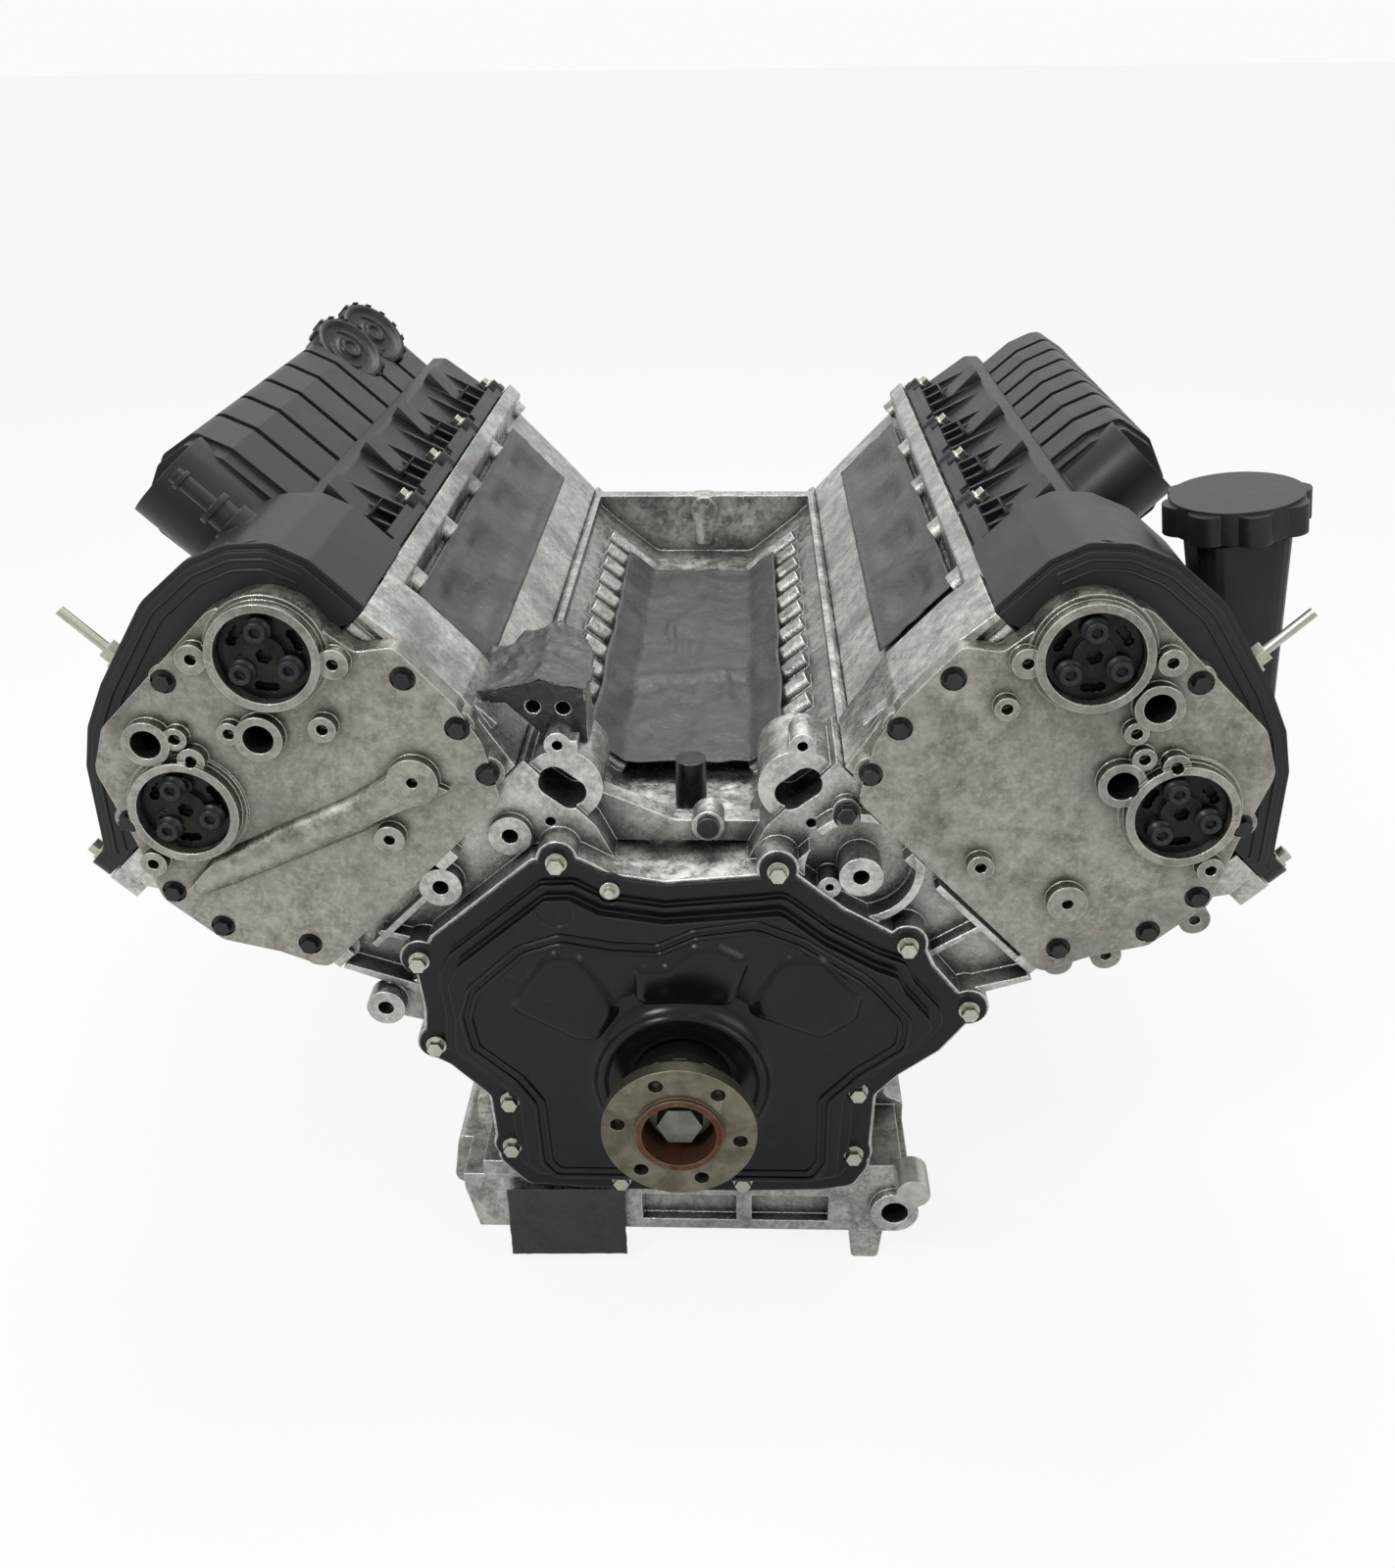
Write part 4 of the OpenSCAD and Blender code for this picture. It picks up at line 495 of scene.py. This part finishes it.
def thicken(obj, thick):
    mod = obj.modifiers.new("thick", "SOLIDIFY")
    mod.thickness = thick
    mod.offset = 0


def film(name, rows, cols, point, finish="black_tape"):
    """Thin wrinkled skin from a function of two numbers from 0 to 1."""
    bm = bmesh.new()
    grid = [[bm.verts.new(point(i / rows, j / cols)) for j in range(cols + 1)]
            for i in range(rows + 1)]
    for i in range(rows):
        for j in range(cols):
            bm.faces.new((grid[i][j], grid[i + 1][j], grid[i + 1][j + 1], grid[i][j + 1]))
    obj = piece(name, bm, finish)
    thicken(obj, FILM_THICK)
    return obj


def inside(x, y, poly):
    """Whether a point is inside an outline."""
    hit = False
    for (x0, y0), (x1, y1) in zip(poly, poly[1:] + poly[:1]):
        if (y0 > y) != (y1 > y) and x < x0 + (y - y0) * (x1 - x0) / (y1 - y0):
            hit = not hit
    return hit


def cut_film(name, poly, holes, step, point, finish="black_tape"):
    """Thin skin in the shape of an outline, with round holes, from a function of two lengths."""
    bm = bmesh.new()
    x_min, x_max = min(p[0] for p in poly), max(p[0] for p in poly)
    y_min, y_max = min(p[1] for p in poly), max(p[1] for p in poly)
    made = {}

    def vert(i, j):
        if (i, j) not in made:
            x, y = x_min + i * step, y_min + j * step
            for hole_x, hole_y, radius in holes:
                away = math.hypot(x - hole_x, y - hole_y)
                if away < radius + step * 0.6:
                    pull = radius / max(away, 0.01)
                    x, y = hole_x + (x - hole_x) * pull, hole_y + (y - hole_y) * pull
            made[i, j] = bm.verts.new(point(x, y))
        return made[i, j]

    for i in range(int((x_max - x_min) / step) + 1):
        for j in range(int((y_max - y_min) / step) + 1):
            x, y = x_min + (i + 0.5) * step, y_min + (j + 0.5) * step
            if not inside(x, y, poly) or any(math.hypot(x - h[0], y - h[1]) < h[2] for h in holes):
                continue
            bm.faces.new((vert(i, j), vert(i + 1, j), vert(i + 1, j + 1), vert(i, j + 1)))
    obj = piece(name, bm, finish)
    thicken(obj, CUT_FILM_THICK)
    return obj


def fold(x, y, z, scale, seed):
    """Creased noise, from about -1 to 1, with sharp valleys like pulled tape."""
    q = Vector((x, y, z)) * scale + Vector((seed * 3.1, seed * 1.7, seed))
    return 1 - 2 * abs(noise.noise(q)) - 0.6 + 0.4 * noise.noise(q * 2.3)


def waver(x, y, z):
    """Smooth noise, from about -1 to 1."""
    return noise.noise(Vector((x, y, z)))


CORNER_STEPS = 8
CORNER_REACH = 0.48  # the most of a side that one corner takes up
STRAIGHT = -0.9998  # the cosine between two sides that need no corner


def rounded(pts):
    """Outline with its corners rounded to the radius in their third number."""
    out = []
    for i, p in enumerate(pts):
        q = Vector(p[:2])
        to_a, to_b = Vector(pts[i - 1][:2]) - q, Vector(pts[(i + 1) % len(pts)][:2]) - q
        long_a, long_b = to_a.length, to_b.length
        to_a.normalize()
        to_b.normalize()
        radius = p[2] if len(p) > 2 else 0
        if radius == 0 or to_a.dot(to_b) < STRAIGHT:
            out.append(q)
            continue
        half = math.acos(max(-1, min(1, to_a.dot(to_b)))) / 2
        run = min(radius / math.tan(half), CORNER_REACH * long_a, CORNER_REACH * long_b)
        start, end = q + to_a * run, q + to_b * run
        for k in range(CORNER_STEPS + 1):
            t = k / CORNER_STEPS
            out.append(start * (1 - t) ** 2 + q * 2 * t * (1 - t) + end * t * t)
    return out


def inset(pts, d):
    """Outline moved inwards by d, with the corners' radii kept."""
    out = []
    for i, p in enumerate(pts):
        q = Vector(p[:2])
        a = (q - Vector(pts[i - 1][:2])).normalized()
        b = (Vector(pts[(i + 1) % len(pts)][:2]) - q).normalized()
        side_a, side_b = Vector((-a.y, a.x)), Vector((-b.y, b.x))
        moved = q + d * (side_a + side_b) / (1 + side_a.dot(side_b))
        out.append((moved.x, moved.y, *p[2:]))
    return out


def skin(bm, rings, closed=False):
    """Faces along rows of points, each row a closed ring, with ends where the run is open."""
    count = len(rings[0]) - 1
    for i in range(len(rings) if closed else len(rings) - 1):
        a, b = rings[i], rings[(i + 1) % len(rings)]
        strip(bm, a, b, count)
        bm.faces.new((a[count], a[0], b[0], b[count]))
    if not closed:
        bm.faces.new(rings[0])
        bm.faces.new(rings[-1])


def bead(name, pts, place, width, height, finish, closed=True):
    """Half-round raised bead along an outline, its foot sunk in the face."""
    foot, steps = 0.4, 6
    bm = bmesh.new()
    last = len(pts) - 1
    rings = []
    for i, p in enumerate(pts):
        if closed:
            ahead, behind = pts[(i + 1) % len(pts)], pts[i - 1]
        else:
            ahead, behind = pts[min(i + 1, last)], pts[max(i - 1, 0)]
        t = (ahead - behind).normalized()
        across = Vector((-t.y, t.x))
        ring = []
        for k in range(steps + 1):
            a = math.pi * k / steps
            q = p + across * (width / 2 * math.cos(a))
            ring.append(bm.verts.new(place(q.x, q.y, height * math.sin(a) - foot)))
        rings.append(ring)
    skin(bm, rings, closed)
    return piece(name, bm, finish)


def lathe(bm, profile, matrix, steps=72):
    """Ring of a profile of (radius, height) points about the matrix's Z axis."""
    rings = []
    for s in range(steps):
        a = 2 * math.pi * s / steps
        rings.append([bm.verts.new(matrix @ Vector((r * math.cos(a), r * math.sin(a), h)))
                      for r, h in profile])
    for s in range(steps):
        a, b = rings[s], rings[(s + 1) % steps]
        for k in range(len(profile) - 1):
            bm.faces.new((a[k], b[k], b[k + 1], a[k + 1]))


# Tape over the intake ports: sucked in at each port, creased between

CYLINDER_PITCH, BANK_CYLINDERS = 104, 4
PORT_TAPE_LONG, PORT_TAPE_WIDE = 416, 65


def port_tape(name, side, y_front, y_port):
    """Tape of one bank, from y_front on, with its first port at y_port."""
    ports = [y_port + CYLINDER_PITCH * k for k in range(BANK_CYLINDERS)]
    u_face, lean, v_low, v_port = -66.6, 1.8, 246, 279
    dent_depth, dent_long, dent_wide = 5.0, 27, 17
    crease_depth, stray = 1.0, 1.5
    rim, curl = 0.03, 60

    def point(a, b):
        y = y_front + PORT_TAPE_LONG * a
        v = v_low + PORT_TAPE_WIDE * b
        u = u_face - lean * b
        dent = sum(math.exp(-(((y - p) / dent_long) ** 4) - ((v - v_port) / dent_wide) ** 4)
                   for p in ports)
        crease = max(0.0, fold(y * 0.4, v, 0, scale=0.045, seed=3 + side))
        u += dent_depth * dent - crease_depth * crease * (1 - dent)
        edge = min(a, 1 - a, b * 0.4, (1 - b) * 0.4)
        if edge < rim:
            u -= (rim - edge) * curl * (0.5 + 0.5 * waver(y * 0.05, v * 0.08, side))
        y += stray * waver(y * 0.1, v * 0.05, side)
        return bank(side, u, y, v)

    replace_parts(film(name, rows=160, cols=30, point=point), "port_tapes")


port_tape("port_tape_left", side=-1, y_front=192, y_port=244)
port_tape("port_tape_right", side=1, y_front=208, y_port=260)


# Tape over the valley: flat in the middle, up both walls, with a cross ridge and long puckers

VALLEY_TAPE_LONG, VALLEY_TAPE_WIDE = 370, 128
VALLEY_PUCKERS = (  # middle x and y, height, half width and half length
    (-20, 395, 3.4, 3.0, 46), (-8, 360, 2.2, 3.5, 40), (24, 300, 2.0, 5, 34))


def valley_point(a, b):
    y_front, z_flat, flat_half, wall_wide, wall_rise = 182, 153.4, 42, 22, 17.8
    ridge_y, ridge_lean, ridge_half, ridge_tall = 318, 0.15, 9, 2.6
    pucker_lean, stray = 0.06, 2.0
    x = VALLEY_TAPE_WIDE * (b - 0.5)
    y = y_front + VALLEY_TAPE_LONG * a
    z = z_flat + max(0.0, abs(x) - flat_half) * wall_rise / wall_wide
    z += 2.6 * max(-0.35, fold(x, y * 0.45, 0, scale=0.028, seed=7))
    z += 1.1 * noise.noise(Vector((x, y, 0)) * 0.06)
    z += ridge_tall * math.exp(-((y - ridge_y - x * ridge_lean) / ridge_half) ** 2)
    for mid_x, mid_y, tall, wide, run in VALLEY_PUCKERS:
        z += tall * math.exp(-((x - mid_x + pucker_lean * (y - mid_y)) / wide) ** 2
                             - ((y - mid_y) / run) ** 2)
    x += stray * waver(0, y * 0.02, 5)
    return at(x, y, z)


# Crumpled tape over the left front bracket: from the head's wall, and down the bracket's front

BRACKET_TOP = [
    (-120, 106.6), (-56, 106.6), (-53, 128), (-56, 160), (-64, 184), (-80, 190), (-98, 186),
    (-118, 178), (-140, 166), (-148, 142), (-136, 130), (-128, 118)]
BRACKET_FRONT = [
    (-88, 198), (-84, 212.5), (-104, 232), (-119, 233), (-120, 240), (-106, 241), (-84, 247),
    (-57, 240), (-55.5, 198)]
BRACKET_HOLES = [(-88, 229, 5.4), (-70, 228, 5.4)]  # x, z and radius


def bracket_top(x, y):
    """A hollow beside the head's wall, then up to the bracket's peak and down past it."""
    x_left, x_wall, x_peak, y_back = -148, -108, -84, 144
    z_left, z_wall, z_peak = 238.5, 239.6, 246.3
    hollow, climb, fall = 7, 0.28, 0.24
    if x < x_wall:
        z = z_left - hollow * math.sin(math.pi * (x - x_left) / (x_wall - x_left)) ** 2
    elif x < x_peak:
        z = z_wall + (x - x_wall) * climb
    else:
        z = z_peak - (x - x_peak) * fall
    back = max(0.0, y - y_back)
    z += 0.0016 * back * back - 0.02 * back
    loose = 1.8 + 0.05 * back + (1.6 if x < x_wall else 0)
    z += loose * (0.5 + fold(x, y, 0, scale=0.05, seed=11))
    z += 0.8 * fold(x, y, 3, scale=0.14, seed=23)
    return at(x, y, z)


def bracket_front(x, z):
    y_face, z_edge, lean = 107.2, 236, 0.1
    y = y_face - 2.0 * max(0.0, fold(x, z, 0, scale=0.07, seed=17))
    y += max(0.0, z - z_edge) * lean
    return at(x, y, z)


# Tape over the sump's front

SUMP_TAPE_WIDE, SUMP_TAPE_TALL = 79, 58


def sump_point(a, b):
    x_left, y_face, z_low, lean = -120, 66.4, -168.5, 2.0
    crease_depth, crease_half = 0.4, 0.02
    x = x_left + SUMP_TAPE_WIDE * b
    z = z_low + SUMP_TAPE_TALL * a + lean * b
    y = y_face - 0.8 * max(0.0, fold(x, z, 0, scale=0.05, seed=13))
    for crease in (0.14, 0.84):
        y -= crease_depth * math.exp(-((b - crease) / crease_half) ** 2)
    return at(x + 0.8 * waver(z * 0.1, 0, 1), y, z)


# The bracket's front and the sump's tape take the darker copy, painted shade for faces turned to
# the front.
for made in (
        film("valley_tape", rows=140, cols=56, point=valley_point),
        cut_film("bracket_tape", BRACKET_TOP, [], step=1.5, point=bracket_top),
        cut_film("bracket_wrap", BRACKET_FRONT, BRACKET_HOLES, step=1.1, point=bracket_front,
                 finish="dark_tape"),
        film("sump_tape", rows=40, cols=60, point=sump_point, finish="dark_tape")):
    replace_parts(made, "surface_tapes")


# Pressed beads and pads of the timing cover, and the flare round its seal

COVER_FACE_Y = 52
BEAD_WIDE, BEAD_TALL, BEAD_GAP = 3.6, 2.3, 5.5
COVER_GROOVE = [
    (-84, -84, 8), (84, -84, 8), (92, -70, 8), (92, -20, 12), (110, 0, 14), (138, 22, 12),
    (140, 44, 12), (122, 66, 12), (112, 76, 12), (74, 102, 14), (46, 114, 12), (8, 108, 10),
    (-14, 97, 10), (-40, 98, 12), (-72, 104, 12), (-98, 95, 12), (-130, 64, 12), (-136, 44, 10),
    (-132, 18, 12), (-104, -8, 12), (-94, -24, 12), (-92, -72, 8)]
COVER_PADS = [
    [(-104, 52, 8), (-66, 30, 6), (-52, 28, 8), (-38, 50, 10), (-62, 90, 10), (-78, 92, 10)],
    [(-26, 56, 8), (30, 56, 8), (40, 88, 10), (22, 98, 8), (8, 97, 8), (-8, 82, 8), (-26, 82, 8)],
    [(40, 50, 10), (86, 32, 8), (106, 46, 8), (108, 62, 10), (84, 90, 10), (64, 90, 10)]]
PAD_STEPS = (  # inset from the pad's outline, and y
    (-2.6, 52.3), (-2.0, 51.8), (-1.2, 51.0), (-0.4, 50.2), (0.6, 49.5), (1.8, 48.9), (3.2, 48.6),
    (5, 48.5))
COLLAR = [  # radius, and minus y
    (70, -52.2), (66, -51.7), (62, -51.1), (58.5, -50), (56, -48.6), (54, -46.6), (53, -44.6),
    (52.4, -42.8), (51, -41.8), (49, -41.4), (47, -41.8), (45.5, -43), (44.6, -45), (43.4, -48),
    (42.3, -51)]


def cover_place(x, z, h):
    return at(x, COVER_FACE_Y - h, z)


def soft_pad(name, pts):
    """Pressed pad with a rounded edge, laid over the plain pad of the cover."""
    bm = bmesh.new()
    rings = [[bm.verts.new(at(q.x, y, q.y)) for q in rounded(inset(pts, d))]
             for d, y in PAD_STEPS]
    for a, b in zip(rings, rings[1:]):
        strip(bm, a, b, len(a), closed=True)
    bm.faces.new(rings[-1])
    piece(name, bm, "black_cover_steel")


def collar():
    """Smooth flare from the cover's face up to the rim round the seal."""
    bm = bmesh.new()
    lathe(bm, COLLAR, Matrix.Scale(MM, 4) @ Matrix.Rotation(QUARTER_TURN, 4, "X"), steps=128)
    piece("cover_collar", bm, "black_cover_steel")


for name, line in (("cover_bead_outer", COVER_GROOVE),
                   ("cover_bead_inner", inset(COVER_GROOVE, BEAD_GAP))):
    bead(name, rounded(line), cover_place, BEAD_WIDE, BEAD_TALL, "black_cover_steel")
for i, pts in enumerate(COVER_PADS):
    soft_pad("cover_pad_%d" % i, pts)


# Ribs along the front faces of the cam covers

ARCH_FACE_Y = 84.3
ARCH_FOOT_V = 336
RIB_WIDE, RIB_TALL, RIB_INSETS = 2.2, 1.5, (4.5, 10.5)
ARCH = [
    (-84, 310), (150, 310), (150, 346, 4), (128, 368, 9), (108, 388, 12), (86, 402, 14),
    (58, 412, 14), (0, 425, 30), (-36, 422, 24), (-60, 412, 18), (-77, 396, 14), (-84, 376, 8)]


def arch_place(side):
    return lambda u, v, h: bank(side, u, ARCH_FACE_Y - h, v)


for side, label in ((-1, "left"), (1, "right")):
    for i, d in enumerate(RIB_INSETS):
        line = [q for q in rounded(inset(ARCH, d)) if q.y > ARCH_FOOT_V]
        bead("%s_arch_rib_%d" % (label, i), line, arch_place(side), RIB_WIDE, RIB_TALL,
             "black_plastic", closed=False)


# The curved ridge of the left front cover

FRONT_COVER_FACE_Y = 69.3
RIDGE = [  # u, v, half width and height
    (-23, 252, 12.5, 6.6), (10, 260, 12, 7.4), (50, 275, 12, 7.5), (96, 291.5, 11, 7.5),
    (119, 295.8, 4.8, 6.4)]


def ridge():
    """Soft swelling over the plain band that crosses the cover."""
    across_u, across_v = -0.35, 0.94
    runs, steps = 12, 16
    bm = bmesh.new()
    rings = []
    for start, end in zip(RIDGE, RIDGE[1:]):
        for k in range(runs):
            u, v, half, tall = (a + (b - a) * (k / runs) for a, b in zip(start, end))
            ring = []
            for j in range(steps + 1):
                a = math.pi * j / steps
                off = half * math.cos(a)
                ring.append(bm.verts.new(bank(-1, u + across_u * off,
                                              FRONT_COVER_FACE_Y - tall * math.sin(a),
                                              v + across_v * off)))
            rings.append(ring)
    skin(bm, rings)
    piece("cover_ridge", bm, "cover_casting")


ridge()
collar()


# Socket bolts on the faces of the phasers

BOLT_CIRCLE = 16
BOLT_ANGLES = (95, 215, 335)
BOLT = [  # radius and height
    (0, 1.4), (2.6, 1.4), (3.2, 2), (3.2, 5.6), (3.8, 6), (5.6, 6), (6.3, 5.3), (6.4, 1.2),
    (7.6, 1), (7.8, 0.5), (7.8, -0.6)]
PHASERS = (("intake", 229.103, 280.014, 0), ("exhaust", 289.207, 181.726, 12))  # x, z and turn


def phaser_bolts(name, x, y, z, turn, body):
    """Three bolts about a phaser's axis, turning with it."""
    bm = bmesh.new()
    for a in BOLT_ANGLES:
        t = math.radians(a + turn)
        at_bolt = Matrix.Translation((x + BOLT_CIRCLE * math.cos(t), y,
                                      z + BOLT_CIRCLE * math.sin(t)))
        m = Matrix.Scale(MM, 4) @ at_bolt @ Matrix.Rotation(QUARTER_TURN, 4, "X")
        lathe(bm, BOLT, m, steps=36)
    piece(name, bm, "black_plastic", body)


for label, side, face_y in (("left", -1, 64), ("right", 1, 66)):
    for shaft, x, z, turn in PHASERS:
        row = "%s_%s" % (label, shaft)
        phaser_bolts(row + "_bolts", side * x, face_y, z, turn, row + "_drive")


# Breather canisters: a lipped lid with grips round it and two arcs on top

CANISTERS = (("canister_a", -20, 546, 456), ("canister_b", -24, 609, 453))  # u, y and v
LEAN = math.radians(17)
LID = [  # radius and height
    (0, 26.2), (5, 26.2), (6, 28.2), (8.5, 28.4), (9.6, 27), (10.5, 25.2), (13, 24.6),
    (22, 24.6), (24, 25.4), (25.2, 27.2), (27, 27.6), (29.2, 27.2), (30.4, 26.2), (30.8, 24),
    (30.8, 18.4), (30, 17.2), (28.4, 16.6), (28, 14), (28, 0), (0, 0)]
GRIPS = 14
GRIP = [(30, -2.6, 14.5), (32.2, -2.2, 15), (32.4, -2.2, 26.6), (30.6, -2.6, 28.2)]
ARC_STARTS, ARC_SWEEP, ARC_STEPS = (20, 200), 120, 12
ARC_RADIUS, ARC_LOW, ARC_HIGH = 17.5, 24.4, 25.8
ARC_HALF, ARC_END = 2.6, 0.3
SOFT_EDGE, SHARP = 0.0006, math.radians(50)


def grip(bm, m):
    """Upright rib on the lid's rim."""
    low = [bm.verts.new(m @ Vector(p)) for p in GRIP]
    high = [bm.verts.new(m @ Vector((x, -y, z))) for x, y, z in GRIP]
    bm.faces.new(low)
    bm.faces.new(high[::-1])
    strip(bm, low, high, 4, closed=True)


def arc(bm, m, start):
    """Raised arc, narrow at its ends."""
    rows = []
    for k in range(ARC_STEPS + 1):
        a = math.radians(start + ARC_SWEEP * k / ARC_STEPS)
        half = ARC_HALF * math.sin(math.pi * k / ARC_STEPS) + ARC_END
        inner, outer = ARC_RADIUS - half, ARC_RADIUS + half
        rows.append([bm.verts.new(m @ Vector((r * math.cos(a), r * math.sin(a), h)))
                     for r, h in ((inner, ARC_LOW), (inner, ARC_HIGH), (outer, ARC_HIGH),
                                  (outer, ARC_LOW))])
    for a, b in zip(rows, rows[1:]):
        strip(bm, a, b, 3)


def canister(name, u, y, v):
    m = Matrix.Scale(MM, 4) @ Matrix.Scale(-1, 4, (1, 0, 0))
    m = m @ Matrix.Rotation(math.pi / 4, 4, "Y") @ Matrix.Translation((u, y, v))
    m = m @ Matrix.Rotation(LEAN, 4, "Z") @ Matrix.Rotation(-QUARTER_TURN, 4, "Y")
    bm = bmesh.new()
    lathe(bm, LID, m)
    for k in range(GRIPS):
        grip(bm, m @ Matrix.Rotation(2 * math.pi * k / GRIPS, 4, "Z"))
    for start in ARC_STARTS:
        arc(bm, m, start)
    obj = piece(name, bm, "black_plastic")
    mod = obj.modifiers.new("soft", "BEVEL")
    mod.width = SOFT_EDGE
    mod.segments = 2
    mod.limit_method = "ANGLE"
    mod.angle_limit = SHARP
    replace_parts(obj, "breather_canisters")


for name, u, y, v in CANISTERS:
    canister(name, u, y, v)


# Floor, world and lamps. The camera sees a pale floor and background, and the object is lit by
# the lamps and by a weaker sky.

FLOOR_Z = -0.1762
FLOOR_SIZE, FLOOR_CELLS = 30, 8
FLOOR_COLOURS = (0.90, 0.90, 0.90), (0.92, 0.92, 0.92)
FLOOR_SEEN, FLOOR_SHARE = (0.985, 0.985, 0.985, 1), 0.9
SKY_LIGHT, SKY_SEEN = 0.30, (0.965, 0.965, 0.965, 1)
LAMPS = (  # place, aim, width and power
    ("key", (-1.2, -1.3, 2.0), (0, 0.2, 0.1), 0.7, 34),
    ("fill", (1.9, -1.3, 1.2), (0, 0.2, 0.1), 1.4, 12),
    ("top", (0.1, 1.0, 2.2), (0, 0.35, 0.2), 1.5, 42),
)


def floor():
    bm = bmesh.new()
    bmesh.ops.create_grid(bm, x_segments=FLOOR_CELLS, y_segments=FLOOR_CELLS, size=FLOOR_SIZE)
    bm.transform(Matrix.Translation((0, 0, FLOOR_Z)))
    mesh = bpy.data.meshes.new("floor")
    bm.to_mesh(mesh)
    bm.free()
    m = Mat("floor", rough=0.85)
    m.colour(m.mix(m.noise(1.5, detail=3), *FLOOR_COLOURS))
    white = m.node("Emission")
    white.inputs[0].default_value = FLOOR_SEEN
    path = m.node("LightPath")
    mixer = m.node("MixShader")
    m.link(m.times(path.outputs["Is Camera Ray"], FLOOR_SHARE), mixer.inputs[0])
    m.link(m.shader.outputs[0], mixer.inputs[1])
    m.link(white.outputs[0], mixer.inputs[2])
    m.link(mixer.outputs[0], m.output.inputs[0])
    mesh.materials.append(m.made)
    obj = bpy.data.objects.new("floor", mesh)
    bpy.context.scene.collection.objects.link(obj)


def sky():
    """Grey light on the object, and a pale background for the camera, in metal and in glass."""
    world = bpy.data.worlds.new("world")
    bpy.context.scene.world = world
    world.use_nodes = True
    tree = world.node_tree
    tree.nodes.clear()

    def node(kind):
        return tree.nodes.new("ShaderNode" + kind)

    def either(a, b):
        most = node("Math")
        most.operation = "MAXIMUM"
        tree.links.new(a, most.inputs[0])
        tree.links.new(b, most.inputs[1])
        return most.outputs[0]

    output, light, seen, path = (node(k) for k in (
        "OutputWorld", "Background", "Background", "LightPath"))
    light.inputs[0].default_value = (1, 1, 1, 1)
    light.inputs[1].default_value = SKY_LIGHT
    seen.inputs[0].default_value = SKY_SEEN
    seen.inputs[1].default_value = 1.0
    shown = either(path.outputs["Is Camera Ray"], path.outputs["Is Glossy Ray"])
    shown = either(shown, path.outputs["Is Transmission Ray"])
    mixer = node("MixShader")
    tree.links.new(shown, mixer.inputs[0])
    tree.links.new(light.outputs[0], mixer.inputs[1])
    tree.links.new(seen.outputs[0], mixer.inputs[2])
    tree.links.new(mixer.outputs[0], output.inputs[0])


def lamp(name, place, aim, size, power):
    data = bpy.data.lights.new(name, "AREA")
    data.shape = "SQUARE"
    data.size = size
    data.energy = power
    obj = bpy.data.objects.new(name, data)
    obj.location = place
    obj.rotation_mode = "QUATERNION"
    obj.rotation_quaternion = (Vector(aim) - Vector(place)).to_track_quat("-Z", "Y")
    bpy.context.scene.collection.objects.link(obj)


floor()
sky()
for name, place, aim, size, power in LAMPS:
    lamp(name, place, aim, size, power)

view = bpy.context.scene.view_settings
view.view_transform = "Standard"
